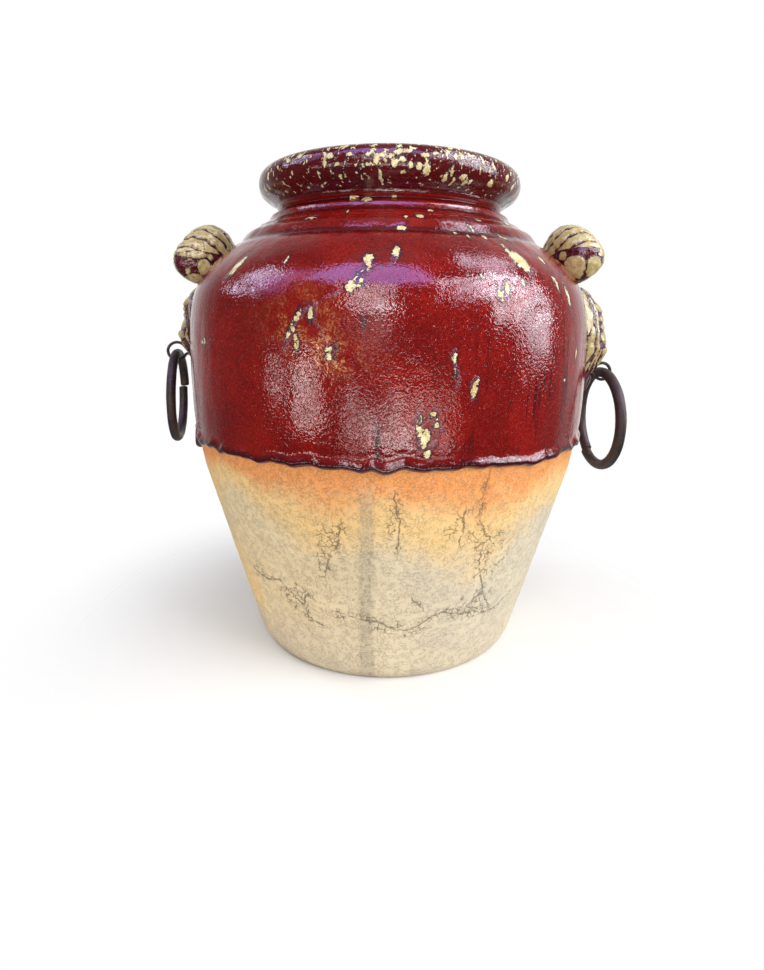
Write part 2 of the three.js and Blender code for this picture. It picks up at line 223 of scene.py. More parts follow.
def ripple(places, wavelength, seed, stretch=(1, 1, 1), waves=30):
    """Soft random swell, about -1 to 1: a sum of cosine waves whose directions are spread over a
    sphere, with lengths near the wavelength and random starts."""
    dice = np.random.default_rng(seed)
    direction = dice.normal(size=(waves, 3))
    direction /= np.linalg.norm(direction, axis=1, keepdims=True)
    direction *= 2 * np.pi / (wavelength * dice.uniform(0.7, 1.5, (waves, 1)))
    phase = dice.uniform(0, 2 * np.pi, waves)
    waves_here = np.cos((places / np.asarray(stretch)) @ direction.T + phase)
    return waves_here.sum(axis=-1) / math.sqrt(waves)


def bump_at(value, centre, half_width):
    """A bell: e to the minus square of the distance from the centre in half widths."""
    return np.exp(-(((value - centre) / half_width) ** 2))


def turned_away(angle, place):
    """Smallest signed turn in degrees from a place to an angle, both in degrees."""
    return (angle - place + 180) % 360 - 180


# %% [markdown]
# ## Camera
# The picture was taken from close by, at the height of the belly, four degrees round towards the
# right handle and looking a little down. A short lens and a camera a good half metre away give the
# same strong perspective, and a small shift of the view puts the urn higher in the frame.

# %% Camera
# In pixels of the picture: its height, the length of the lens and the shift of the view
PICTURE_HEIGHT, LENS_LENGTH, VIEW_SHIFT = 970, 600, 95.7
SENSOR = 36
CAMERA_PLACE = (0.0330, -0.5510, 0.2801)
LOOKS_DOWN, ROLLED, TURNED = 6.875, -0.54, 4

camera_data = bpy.data.cameras.new("camera")
camera = bpy.data.objects.new("camera", camera_data)
bpy.context.scene.collection.objects.link(camera)
bpy.context.scene.camera = camera
camera_data.sensor_width = SENSOR
camera_data.lens = LENS_LENGTH / PICTURE_HEIGHT * SENSOR
camera_data.shift_y = -VIEW_SHIFT / PICTURE_HEIGHT
camera_data.clip_start = 0.01
camera.location = CAMERA_PLACE
camera.rotation_euler = [math.radians(turn) for turn in (90 - LOOKS_DOWN, ROLLED, TURNED)]
print("lens", round(camera_data.lens, 2), "mm")

# %% [markdown]
# ## Bare clay
# The thrown pot is one turned shell, open at the mouth. Its outside is finer where it shows. The
# clay cracked as it dried: each crack is drawn as a line on the unrolled wall, and every vertex
# stores how far it lies from the nearest line. The signed distance crosses zero smoothly, so the
# material can draw a hair-thin crack between vertices that stand up to three millimetres apart. A
# second, unsigned distance removes the false crossings half-way between two cracks.

# %% Cracks as lines on the unrolled wall: front angle in degrees, height in millimetres
CRACKS = [
    [(5.5, 160), (6.2, 150), (6.9, 142), (6.6, 131), (6.3, 120)],
    [(28.5, 174), (28.1, 164), (27.7, 155), (27.9, 147)],
    [(29.3, 135), (30.4, 128), (32.0, 124), (34.9, 116)],
    [(31.3, 110), (31.9, 98), (34.5, 81), (36.8, 70), (39.6, 61)],
    [(-44, 78), (-38, 75), (-32, 80), (-30, 74), (-24.4, 63), (-21.9, 49), (-18.3, 48)],
    [(-12, 62), (-7.7, 60), (-3.1, 57), (1.5, 55.5), (6.1, 50), (10.1, 47.3), (14.7, 52),
     (18.3, 59), (22.2, 62), (27.8, 57), (33.6, 56), (40, 51), (45.4, 52.3), (51.2, 58.7)],
    [(-24.1, 61), (-22.1, 73), (-20.2, 70)],
    [(-11.5, 114), (-13.0, 103), (-14.2, 94)],
    [(-8.0, 139), (-9.1, 125), (-10.0, 116)],
    [(23.2, 147), (23.9, 131), (23.4, 123)],
    [(11.5, 77), (13, 73), (14.8, 68)],
    [(33.9, 70), (30.8, 63), (36.5, 57)],
]
UNROLL_RADIUS = 145.0
FAR_AWAY = 20.0


def unrolled(degrees):
    """Millimetres round the unrolled wall at a front angle in degrees."""
    return math.radians(1) * UNROLL_RADIUS * degrees


def more_cracks(seed, count):
    """Wandering cracks for the sides and the back: each is a random walk over the wall."""
    dice = np.random.default_rng(seed)
    for _ in range(count):
        steps = dice.integers(3, 8)
        heading = dice.uniform(0, 2 * np.pi) + np.cumsum(dice.normal(0, 0.6, steps))
        angle = dice.uniform(75, 290) + np.cumsum(np.cos(heading)) * 3.5
        height = dice.uniform(40, 150) + np.cumsum(np.sin(heading)) * 9
        yield list(zip(angle, np.clip(height, 18, 172)))


def from_segment(across, up, start, stop):
    """The nearest point of a segment, found by projecting on it and clamping: how far along it
    that is, as a share, and the way from there to each place."""
    (x0, z0), (x1, z1) = start, stop
    dx, dz = x1 - x0, z1 - z0
    share = np.clip(((across - x0) * dx + (up - z0) * dz) / (dx * dx + dz * dz), 0, 1)
    return share, across - x0 - share * dx, up - z0 - share * dz


def nearest_line(across, up, lines):
    """Signed and unsigned distance in millimetres from each place to the nearest of many lines.
    The sign is that of the cross product with the segment's direction."""
    signed = np.full(across.shape, 2.5 * FAR_AWAY)
    nearest = signed.copy()
    for line in lines:
        knots = [(unrolled(angle), height) for angle, height in line]
        for start, stop in zip(knots, knots[1:]):
            _, away_x, away_z = from_segment(across, up, start, stop)
            distance = np.hypot(away_x, away_z)
            side = np.sign((stop[0] - start[0]) * away_z - (stop[1] - start[1]) * away_x)
            closer = distance < nearest
            nearest = np.where(closer, distance, nearest)
            signed = np.where(closer, distance * side, signed)
    return np.clip(signed, -FAR_AWAY, FAR_AWAY), np.clip(nearest, 0, FAR_AWAY)


crack_lines = CRACKS + list(more_cracks(11, 26))
print(len(crack_lines), "cracks")

# %% [markdown]
# ## The flash of orange
# Under the glaze the iron in the clay turned orange where the fire was trapped, and it fades over
# yellow to grey cream. How far down it reaches changes round the pot: far under the right side,
# hardly at all at the left. One field holds this as a number: 1 at the glaze, 0 where it ends.


# %% Flash, strip and crazing
FLASH_TOP, FLASH_DEPTH = 178.0, 66.0
# Where the flash reaches further down or less far: front angle, half width, millimetres more
FLASH_SWELLS = [
    (28, 15, 34), (-42, 12, -36), (-14, 9, 14), (4, 5, -6), (58, 12, -14), (150, 45, 22),
    (-120, 25, 12),
]
BARE_TOP = 176.0
STRIP_TOP, STRIP_FOOT = 159.0, 20.0
# Where the hair cracks crowd in front: front angle, height, half width in degrees, half height
CRAZED = [
    (-41, 77, 5, 12), (-26, 66, 7, 14), (-12, 118, 5, 26), (33, 66, 8, 12), (32, 124, 6, 14),
    (10, 50, 10, 7), (23, 132, 5, 14), (6, 138, 3, 18), (-4, 57, 8, 5), (38, 98, 6, 20),
]


def flash_depth(angle):
    """How many millimetres below the glaze the flash reaches at a front angle in degrees."""
    depth = FLASH_DEPTH
    for place, half_width, more in FLASH_SWELLS:
        depth = depth + more * bump_at(turned_away(angle, place), 0, half_width)
    return depth


def grey_strip(degrees, height):
    """A strip of greyer clay down the front, which widens to the left on its way down."""
    turn = turned_away(degrees, 0)
    down = np.clip((STRIP_TOP - height) / (STRIP_TOP - STRIP_FOOT), -0.2, 1)
    past_left = np.clip((turn + 3.6 + 3.1 * down) / 1.6, 0, 1)
    before_right = np.clip((0.9 - 0.9 * down - turn) / 0.9, 0, 1)
    under_glaze = np.clip((BARE_TOP - height) / 18, 0, 1)
    return past_left * before_right * under_glaze * (0.7 + 0.3 * down)


def crazing(degrees, height, places, nearest):
    """How closely hair cracks crowd, 0 to 1: in spots in front, by chance behind, along cracks."""
    behind = np.abs(turned_away(degrees, 0)) > 62
    craze = 0.8 * np.clip(ripple(places, 60, 8) - 0.3, 0, 1) * behind
    craze += 0.7 * bump_at(nearest, 0, 5)
    for place, centre, half_width, half_height in CRAZED:
        spot = bump_at(turned_away(degrees, place), 0, half_width)
        craze += spot * bump_at(height, centre, half_height)
    return np.clip(craze, 0, 1)


def crack_distances(degrees, height):
    """Signed and unsigned distance to the nearest crack. Cracks in front have angles from -180 to
    180 degrees and those behind from 0 to 360, so both ways of counting are tried."""
    in_front = nearest_line(unrolled(turned_away(degrees, 0)), height + 0 * degrees, crack_lines)
    behind = nearest_line(unrolled(degrees % 360), height + 0 * degrees, crack_lines)
    closer = behind[1] < in_front[1]
    return [np.where(closer, b, a) for a, b in zip(in_front, behind)]


# %% Clay pot
CLAY_COLUMNS = 360
HIDDEN_FROM = 198.0
BARE_STEP, HIDDEN_STEP, INSIDE_STEP = 1.5, 6.0, 6.8
MIDDLE_HOLE = 4.0
CRACK_DEPTH, CRACK_WIDTH, TURNING_DEPTH = 0.5, 0.9, 0.1


def clay_run():
    """The outline from the middle of the foot, up the outside, over the rim, down the inside and
    back to the middle of the floor; and 1 for each point on the outside, 0 for the others."""
    inner_run = np.vstack([
        [(HEEL_RADIUS, HEEL_TOP)], belly, shoulder[1:], [(NECK_RADIUS, NECK_HEIGHT)],
    ])
    inside = (inner_run - outward(inner_run) * WALL)[::-1]
    floor_radius = inside[-1, 0] - WALL / 2
    outside = respace(wall, lambda z: np.where(z < HIDDEN_FROM, BARE_STEP, HIDDEN_STEP))
    inside = respace(np.vstack([[throat], inside]), lambda z: INSIDE_STEP + 0 * z)
    floor = np.c_[np.linspace(floor_radius, MIDDLE_HOLE, 16), np.full(16, FLOOR)]
    foot = np.c_[np.linspace(MIDDLE_HOLE, FOOT_RADIUS - 1.5, 14), np.zeros(14)]
    counts = [len(foot), len(outside), len(inside) + len(floor)]
    return np.vstack([foot, outside, inside, floor]), np.repeat([0.0, 1.0, 0.0], counts)[:, None]


def clay_pot():
    """The run swept round the axis, sunk along the cracks and waved by the turning."""
    run, is_outside = clay_run()
    angle = once_round(CLAY_COLUMNS)
    radius, height = run[:, :1], run[:, 1:]
    degrees = np.degrees(angle) + 0 * height
    signed, nearest = crack_distances(degrees, height)
    bare_share = np.clip((BARE_TOP - height) / 10, 0, 1) * np.clip(height / 12, 0, 1) * is_outside
    turning = TURNING_DEPTH * ripple(round_the_pot(radius, angle, height), 9, 5, stretch=(40, 40, 1))
    shift = (turning - CRACK_DEPTH * bump_at(nearest, 0, CRACK_WIDTH)) * bare_share
    normal = outward(run)
    places = round_the_pot(radius + normal[:, :1] * shift, angle, height + normal[:, 1:] * shift)
    fields = {
        "crack_side": signed, "crack_near": nearest,
        "flash": np.clip(1 - (FLASH_TOP - height) / flash_depth(degrees), -1, 1),
        "blush": bump_at(turned_away(degrees, -56), 0, 9) * bump_at(height, 62, 34),
        "strip": grey_strip(degrees, height), "craze": crazing(degrees, height, places, nearest),
        "inside": 1 - is_outside + 0 * degrees,
    }
    return make_piece("clay_pot", places, fields, stands_for=["urn_body"])


clay = clay_pot()

# %% [markdown]
# ## The glaze coat
# Glaze is a liquid that froze: nearly even on the wall, thin on ridges, thick in hollows and in
# the rolled lip where it stopped, which sags into drops. Where it crawled, cream slip shows with a
# dark edge. The coat is a closed skin: an inner surface just off the clay and an outer one whose
# distance from the clay is the glaze's thickness. The bare patches are a list of places with
# sizes and a lean, turned into one field: millimetres inside the nearest patch's edge. Scars,
# where the glaze tore and healed, run from patch to patch like the cracks in the clay.

# %% Edge of the glaze and its drips
EDGE_HEIGHT = 180.3
DRIPS = [
    (-66, 10.5, 2.6), (-57, 3.5, 2.2), (-52, 1.5, 4.0), (-44, 2.2, 2.0), (-37, 1.0, 3.0),
    (-28, 1.6, 2.4), (-19, 1.2, 2.0), (-10, 1.8, 2.2), (-2.5, 3.2, 2.2), (3.0, 3.8, 2.6),
    (11.5, 3.0, 2.4), (18, 1.6, 3.0), (25, 1.2, 2.0), (34, 2.2, 4.2), (42.5, 3.6, 4.4),
    (50, 2.8, 3.4), (56, 1.6, 2.0), (62, 3.0, 3.0), (70, 4.0, 4.0),
]
dice = np.random.default_rng(21)
DRIPS += [
    (float(place), float(hang), float(width)) for place, hang, width in zip(
        78 + np.arange(24) * 8.6 + dice.uniform(-3, 3, 24),
        dice.uniform(1, 7, 24), dice.uniform(2, 4.2, 24),
    )
]


def edge_height(angle):
    """Height of the glaze's edge at a front angle in degrees: slow waves, minus hanging drips."""
    turn = np.radians(angle)
    height = EDGE_HEIGHT + 0.7 * np.sin(5 * turn + 1) + 0.4 * np.sin(31 * turn + 2)
    height = height + 0.25 * np.sin(67 * turn) + 0.2 * np.sin(103 * turn + 1)
    for place, hang, width in DRIPS:
        height = height - hang * bump_at(turned_away(angle, place), 0, width)
    return height


def lip_thickness(angle):
    """Thickness of the rolled lip, greater in the drips: a rounded drop holds more glaze."""
    turn = np.radians(angle)
    thickness = 3.3 + 0.4 * np.sin(17 * turn) + 0.3 * np.sin(43 * turn + 1)
    for place, hang, width in DRIPS:
        thickness = thickness + 0.12 * hang * bump_at(turned_away(angle, place), 0, width)
    return np.minimum(thickness, 4.5)


print("edge of the glaze from", edge_height(np.arange(360.0)).min().round(1), "mm")

# %% Bare patches in the glaze: front angle, height, half width, half height, lean in degrees
PATCHES = [
    (7.3, 339.6, 2.8, 1.6, 0), (5.3, 321.2, 2.4, 4.3, 10), (-1.4, 316.8, 3.6, 2.6, 0),
    (-1.2, 311.9, 2.2, 2.7, 0), (-2.9, 306.1, 3.2, 1.5, 0), (-4.8, 298.7, 3.2, 3.2, 0),
    (-2.5, 300.3, 1.9, 1.9, 0), (-13.6, 282.3, 2.1, 4.5, -15), (-16.4, 281.0, 1.6, 3.6, 15),
    (-17.6, 274.4, 1.2, 3.6, 25), (-18.9, 267.1, 0.9, 2.4, 20), (-16.8, 263.9, 1.8, 5.0, -5),
    (-13.3, 276.5, 1.7, 1.3, 0), (-9.5, 259.1, 2.0, 2.2, 0), (-7.7, 258.6, 1.1, 2.8, 0),
    (-9.1, 253.1, 1.7, 0.9, 0), (-1.5, 276.2, 1.1, 2.5, 0), (40.0, 318.5, 4.6, 7.4, -10),
    (37.6, 323.4, 1.8, 6.4, 0), (25.2, 306.2, 1.5, 2.0, 0), (29.2, 294.2, 2.0, 4.6, -20),
    (31.5, 299.1, 2.2, 4.0, 0), (36.9, 303.7, 2.2, 2.6, 0), (17.8, 254.6, 1.4, 3.2, 0),
    (18.2, 245.4, 1.0, 2.8, 0), (22.6, 233.2, 2.4, 5.3, 0), (23.5, 239.9, 1.5, 1.3, 0),
    (13.2, 217.8, 2.7, 1.6, -30), (14.2, 211.6, 1.4, 3.3, 0), (10.4, 208.5, 1.6, 7.3, 0),
    (12.0, 203.0, 2.8, 5.0, 10), (11.4, 197.5, 2.4, 1.7, 30), (12.4, 191.2, 2.3, 2.8, 0),
    (1.4, 197.5, 0.9, 6.1, 0), (50.5, 321.0, 1.6, 3.5, -15), (50.1, 304.8, 1.6, 5.5, -15),
    (54.7, 296.8, 1.6, 10.4, -12), (51.9, 235.0, 1.2, 2.4, 0), (58.7, 254.5, 1.4, 4.2, 0),
    (-22.5, 316.4, 1.2, 2.2, 0), (-38.7, 317.5, 2.0, 5.0, 25), (-39.6, 312.8, 2.8, 5.6, 25),
    (-48.6, 260.7, 1.6, 2.6, 0), (-50.4, 260.0, 1.0, 2.0, 0), (-6.2, 364.4, 3.8, 2.8, 0),
    (-12.5, 367.5, 3.2, 2.4, 0), (5.5, 368.0, 2.0, 1.8, 0), (-25.1, 348.8, 3.4, 1.2, 0),
    (-11.9, 354.0, 1.0, 1.1, 0), (18.8, 355.6, 1.6, 1.4, 0), (13.8, 348.8, 2.6, 1.7, 0),
    (8.8, 347.6, 1.2, 1.3, 0), (36.6, 348.8, 3.3, 1.2, 0), (55.0, 350.4, 3.5, 1.4, 0),
    (-43.9, 350.4, 1.9, 1.1, 0), (27.1, 335.2, 1.1, 1.7, 0), (23.9, 338.0, 1.6, 1.0, 0),
    (33.2, 335.6, 1.2, 1.7, 0), (41.9, 336.3, 1.3, 4.2, -45), (30.9, 341.0, 1.2, 3.2, -30),
]


# Flecks on the rim: front angle, way up its round in degrees, half width, half height, lean
RIM_FLECKS = [
    (-19, 16, 2.6, 2.2, 0), (-16, -8, 2.0, 1.8, 0), (-11, 16, 2.0, 1.4, 20), (-13, -11, 0.6, 2.6, 10),
    (-4.5, 15, 1.5, 1.3, 0), (-1.3, 2, 2.0, 3.1, 0), (-4, -14, 2.2, 1.3, 0), (-6.7, -19, 1.3, 1.1, 0),
    (-24, -35, 0.9, 2.8, -15), (-18.5, -34, 0.7, 3.3, 0), (-15.5, -43, 1.2, 2.0, 0),
    (-13.8, -41, 1.0, 2.3, 0), (-9, -34, 1.3, 1.1, 0), (-7, -50, 0.7, 4.6, -12), (0, -50, 1.4, 4.6, -8),
    (0.8, -72, 1.4, 1.4, 0), (-39, 23, 2.2, 1.5, 0), (-33, 27, 2.6, 1.5, 0), (-37, -16, 0.9, 1.3, 0),
    (-54, -3, 1.5, 2.8, 20), (-57, -30, 1.6, 2.4, 20), (-62, -33, 1.8, 2.2, 0), (6.5, 20, 2.8, 2.0, 0),
    (10, 24, 3.0, 1.2, 0), (5, -11, 2.3, 2.6, 0), (8, 0, 1.8, 2.0, 0), (11, -12, 1.5, 2.0, 0),
    (8.5, -34, 1.8, 1.3, 0), (14, -17, 2.2, 2.6, 0), (16, 15, 2.6, 1.5, 0), (20, 22, 2.0, 1.3, 0),
    (28, 25, 2.0, 1.2, 0), (35, 29, 3.5, 1.1, 0), (41, 20, 1.2, 2.6, -30), (47, 11, 1.4, 3.9, -20),
    (17, -24, 2.2, 4.8, 0), (25, -44, 2.0, 3.5, 0), (27, -25, 1.5, 3.5, 0), (29, -56, 1.1, 3.0, 10),
    (32.5, -35, 3.2, 2.6, 0), (34.5, -58, 1.6, 4.2, 15), (37, -46, 1.5, 1.8, 0), (47.5, -38, 4.0, 2.6, 25),
    (57, -6, 2.2, 2.6, 25), (65, -24, 2.6, 2.6, 25),
]


# The field's value away from all patches; the radius of the rim's round and of the pot there
NO_PATCH = -12.0
RIM_ROUND, FLECK_RADIUS = 13.8, 112.0


def more_patches(seed, clusters):
    """Clusters of bare patches for the sides and the back, like those in front."""
    dice = np.random.default_rng(seed)
    for _ in range(clusters):
        angle, height = dice.uniform(72, 292), dice.uniform(195, 335)
        for _ in range(dice.integers(2, 7)):
            yield (
                angle + dice.normal(0, 4), height + dice.normal(0, 12),
                dice.uniform(0.9, 3.0), dice.uniform(1.5, 6.5), dice.normal(0, 14),
            )


def inside_patch(angle, height, radius, patches):
    """Millimetres inside the nearest patch's edge, negative outside. Each patch is an ellipse:
    1 minus the scaled distance from its middle, times its smaller half size."""
    deepest = np.full(angle.shape, NO_PATCH)
    for place, centre, half_width, half_height, lean in patches:
        dx = math.radians(1) * turned_away(angle, place) * radius
        dz = height - centre
        tilt = math.radians(lean)
        along = dx * math.sin(tilt) + dz * math.cos(tilt)
        across = dx * math.cos(tilt) - dz * math.sin(tilt)
        reach = 1 - np.hypot(across / half_width, along / half_height)
        deepest = np.maximum(deepest, reach * min(half_width, half_height) * 1.2)
    return deepest


patches = PATCHES + list(more_patches(5, 16))
SCARS = [
    [(5.5, 323), (4.5, 314), (-1, 308), (-5, 299), (-11, 291), (-15, 283), (-19, 266), (-20, 258)],
    [(-13, 284), (-12, 275), (-9, 262)], [(38, 327), (36, 314), (31, 303), (29, 291)],
    [(40, 325), (43, 312), (38, 302)], [(12, 222), (9.5, 214), (10.5, 200), (13, 187)],
    [(14, 218), (15.5, 208), (13.5, 196)], [(-39, 322), (-41, 310), (-42, 304)],
    [(17.5, 260), (18.5, 244), (19, 236)], [(22.6, 242), (22.2, 226)],
]
print(len(patches), "bare patches,", len(SCARS), "scars")


# %% Glaze coat
GLAZE_GAP, GLAZE_THICKNESS = 0.3, 1.55
GLAZE_COLUMNS = 400
LIP_TOP, COLLAR_FOOT, COLLAR_TOP = 206.0, 333.0, 369.0
FILLET = 2.6


def throwing_lines(height):
    """Ledges and grooves that the thrower left on the collar, in millimetres of rise."""
    ledge = 1.9 * bump_at(height, 346, 3.4) + 1.7 * bump_at(height, 361.5, 1.1)
    groove = 1.2 * bump_at(height, 339, 2.6) + 1.1 * bump_at(height, 357.5, 1.6)
    return ledge + 0.5 * bump_at(height, 352.5, 1.0) - groove - 0.8 * bump_at(height, 366, 1.6)


def row_step(height):
    """Spacing of the coat's rows: wide on the smooth wall, close over the collar's ledges."""
    return np.where(height < COLLAR_FOOT, 3.5, np.where(height < COLLAR_TOP, 0.86, 1.6))


def all_patches(degrees, radius, height, outside):
    """Millimetres inside the nearest patch or, on the rim, the nearest fleck."""
    below_rim = outside * (height < NECK_HEIGHT + 2) > 0
    on_rim = outside * (height > NECK_HEIGHT + 4) > 0
    up_rim = np.arctan2((height - RIM_CENTRE[1]) / RIM_ABOVE, (radius - RIM_CENTRE[0]) / RIM_WIDTH)
    flecks = [
        (place, math.radians(up) * RIM_ROUND, wide, tall, lean)
        for place, up, wide, tall, lean in RIM_FLECKS
    ]
    patch = np.where(below_rim, inside_patch(degrees, height, radius, patches), NO_PATCH)
    fleck = inside_patch(degrees, up_rim * RIM_ROUND, FLECK_RADIUS, flecks)
    return np.where(on_rim, fleck, patch)


def coat_thickness(degrees, from_edge, base):
    """A round nose at the edge, a swollen lip that thins again, then a softly rippled coat."""
    full = lip_thickness(degrees)
    nose = np.sqrt(np.clip(1 - (1 - np.clip(from_edge / (0.9 * full), 0, 1)) ** 2, 0, 1))
    swell = (full - GLAZE_THICKNESS) * np.exp(-(np.clip(from_edge - full, 0, None) / 3.2) ** 2)
    open_wall = np.clip((from_edge - 4) / 10, 0, 1)
    thickness = nose * (GLAZE_THICKNESS + swell) - 0.35 * bump_at(from_edge, full + 6, 3.5)
    rippled = 0.14 * ripple(base, 18, 1, stretch=(1, 1, 2)) + 0.05 * ripple(base, 7, 2)
    return thickness + open_wall * rippled


def glaze_marks(degrees, height, base, outside):
    """Fields that follow from the place alone: the rim, the scars, hot and streaked areas, and
    the front, where the flecks are a list and not left to chance."""
    scar = nearest_line(unrolled(degrees), height + 0 * degrees, SCARS)[1]
    unseen = np.abs(degrees) > 66
    return {
        "rim": np.clip((height - 370) / 10, 0, 1) + (1 - outside),
        "scar": np.where(outside > 0, scar, FAR_AWAY),
        "hot": 0.9 * bump_at(degrees, -16, 10) * bump_at(height, 278, 22)
        + 1.7 * bump_at(degrees, -8, 6) * bump_at(height, 254, 10)
        + 0.6 * np.clip(ripple(base, 70, 31), 0, 1) * unseen,
        "runs": bump_at(degrees, 42, 24) * np.clip((335 - height) / 40, 0, 1) + 0.8 * unseen,
        "drawn": np.clip((72 - np.abs(degrees)) / 8, 0, 1) + 0 * height,
    }


def glaze_coat():
    """Rows run up the outside from the edge, over the rim and into the throat, then back down
    the inside of the coat; columns go round the pot. The grid closes both ways."""
    above = respace(np.vstack([wall[wall[:, 1] >= LIP_TOP], [throat]]), row_step)
    lip_share = np.r_[np.linspace(0, 0.16, 12)[:-1], np.linspace(0.16, 1, 16)[:-1]]
    angle = once_round(GLAZE_COLUMNS)
    degrees = turned_away(np.degrees(angle), 0)
    edge = edge_height(degrees)
    lip_height = edge + lip_share[:, None] * (above[0, 1] - edge)
    height = np.vstack([lip_height, above[:, 1:] + 0 * edge])
    radius = np.vstack([wall_radius(lip_height), above[:, :1] + 0 * edge])
    slope = outward(np.vstack([np.c_[wall_radius(lip_height[:, 0]), lip_height[:, 0]], above]))
    base = round_the_pot(radius, angle, height)
    outside = (np.arange(len(height))[:, None] < np.argmax(height[:, 0])) * 1.0
    from_edge = np.where(outside > 0, height - edge, 200)
    below_rim = outside * (height < NECK_HEIGHT + 2)
    collar = throwing_lines(height) * below_rim
    fillet = np.clip((height - 366.5) / 6.5, 0, 1) * np.clip((103 - radius) / 5, 0, 1)
    fillet = fillet * outside * (height < RIM_CENTRE[1])
    patch = all_patches(degrees, radius, height, outside)
    thickness = coat_thickness(degrees, from_edge, base) + 0.8 * collar
    thickness += FILLET * fillet**2 * (3 - 2 * fillet)
    thickness += 0.3 * np.clip(patch + 0.6, 0, 1) - 0.22 * bump_at(patch, -0.9, 0.6)
    thickest = np.where(from_edge < 14, 4.9, np.where(below_rim * (height > 330) > 0, 3.2, 1.58))
    thickest = np.where(fillet > 0, 4.2, np.where(height > 398, 1.4, thickest))
    reach = GLAZE_GAP + np.clip(thickness, 0.05, thickest)
    outer, inner = [
        round_the_pot(radius + slope[:, :1] * off, angle, height + slope[:, 1:] * off)
        for off in (reach, GLAZE_GAP)
    ]
    fields = {
        "patch": patch, "from_edge": np.clip(from_edge, 0, 200), "collar_rise": collar,
        **glaze_marks(degrees, height, base, outside),
    }
    kept_rows = np.r_[np.arange(len(height) - 1, 0, -4), 0]
    hidden = {"patch": NO_PATCH, "scar": FAR_AWAY}
    fields = {
        name: np.vstack([
            values + 0 * radius, np.full((len(kept_rows), GLAZE_COLUMNS), hidden.get(name, 0.0)),
        ])
        for name, values in fields.items()
    }
    return make_piece(
        "glaze", np.concatenate([outer, inner[kept_rows]]), fields,
        stands_for=["glaze_coat"], ring=True,
    )


glaze = glaze_coat()

# %% [markdown]
# ## Scrolls
# Each scroll is a fat roll of clay pressed on the shoulder. It arches from back to front and
# droops at both ends, and thin grooves were cut round its girth with a tool. The roll is a circle
# carried along the arched line; its radius is a function of how far along and how far round a
# point is: rounded ribs, narrow grooves, a dome at each end, and a swell where it meets the pot.
# The ribs run on over the top of the domes. Below them the cream glaze crawled into islands, each
# one a squarish oval in the dome's own round outline. The left handle is the right one's recipe
# turned half round, with its own sizes.


# %% Handles: where they stand
SIDES = {"right": 1.0, "left": -1.0}
SCROLL_HALF_SPAN, SCROLL_FLARE = 26.0, 6.0
SCROLL_DROOP = {"right": 11.0, "left": 14.5}
SCROLL_RADIUS, SCROLL_END_RADIUS = 19.5, 18.0
SCROLL_HEIGHT = BELLY_HEIGHT + 87.5
SCROLL_STAND = {"right": 30.5, "left": 35.5}
COAT_REACH = 1.9

# Islands of cream on a scroll's end as seen from in front: outwards, up, half width, half
# height, in radii of the end; and how far that view is turned about the upright, in degrees
ISLANDS = {
    "right": [
        (-0.25, -0.52, 0.48, 0.50), (0.58, -0.50, 0.30, 0.44), (-0.80, 0.02, 0.14, 0.22),
        (0.86, 0.14, 0.12, 0.18),
    ],
    "left": [
        (0.56, 0.22, 0.16, 0.14), (-0.14, 0.20, 0.40, 0.18), (0.30, 0.16, 0.08, 0.14),
        (-0.40, -0.42, 0.30, 0.42), (0.34, -0.58, 0.12, 0.14), (0.04, -0.82, 0.42, 0.14),
        (-0.70, 0.10, 0.12, 0.16), (0.24, -0.06, 0.12, 0.05),
    ],
}
END_VIEW = {"right": 16.6, "left": 23.0}


def half_turn(points, side):
    """The left handle is made like the right one and turned by 180 degrees about the axis."""
    return points * np.array([SIDES[side], SIDES[side], 1.0])


def inside_islands(across, up, islands, size):
    """Millimetres inside the nearest squarish oval: 1 minus the scaled distance from its middle,
    (|x|^2.6 + |z|^2.6)^(1/2.6), times its smaller half size and the size of one unit."""
    deepest = np.full(np.broadcast(across, up).shape, -1.0)
    for x, z, half_width, half_height in islands:
        away = np.abs((across - x) / half_width) ** 2.6 + np.abs((up - z) / half_height) ** 2.6
        reach = 1 - away ** (1 / 2.6)
        deepest = np.maximum(deepest, reach * min(half_width, half_height))
    return deepest * size


# %% Scrolls
SCROLL_ROWS, SCROLL_COLUMNS, SCROLL_GROOVES = 300, 160, 7
SCROLL_BEYOND = SCROLL_END_RADIUS / SCROLL_HALF_SPAN


def scroll_seat(side):
    """Distance of the roll's middle from the pot's axis."""
    return wall_radius(SCROLL_HEIGHT) + COAT_REACH + SCROLL_STAND[side]


def scroll_line(side, share, end):
    """Centre line (seat + flare t^2, span t, height - droop t^2), straight beyond both ends, and
    the two directions square to it: away from the pot and sideways."""
    droop = SCROLL_DROOP[side]
    centre = np.c_[
        scroll_seat(side) + SCROLL_FLARE * share**2, SCROLL_HALF_SPAN * share,
        SCROLL_HEIGHT - droop * share**2,
    ]
    direction = np.c_[
        2 * SCROLL_FLARE * share, np.full(len(share), SCROLL_HALF_SPAN), -2 * droop * share,
    ]
    direction /= np.linalg.norm(direction, axis=1, keepdims=True)
    centre = centre + direction * (end * SCROLL_HALF_SPAN)[:, None]
    outwards = np.array([1.0, 0, 0]) - direction * direction[:, :1]
    outwards /= np.linalg.norm(outwards, axis=1, keepdims=True)
    return centre, outwards, np.cross(direction, outwards)


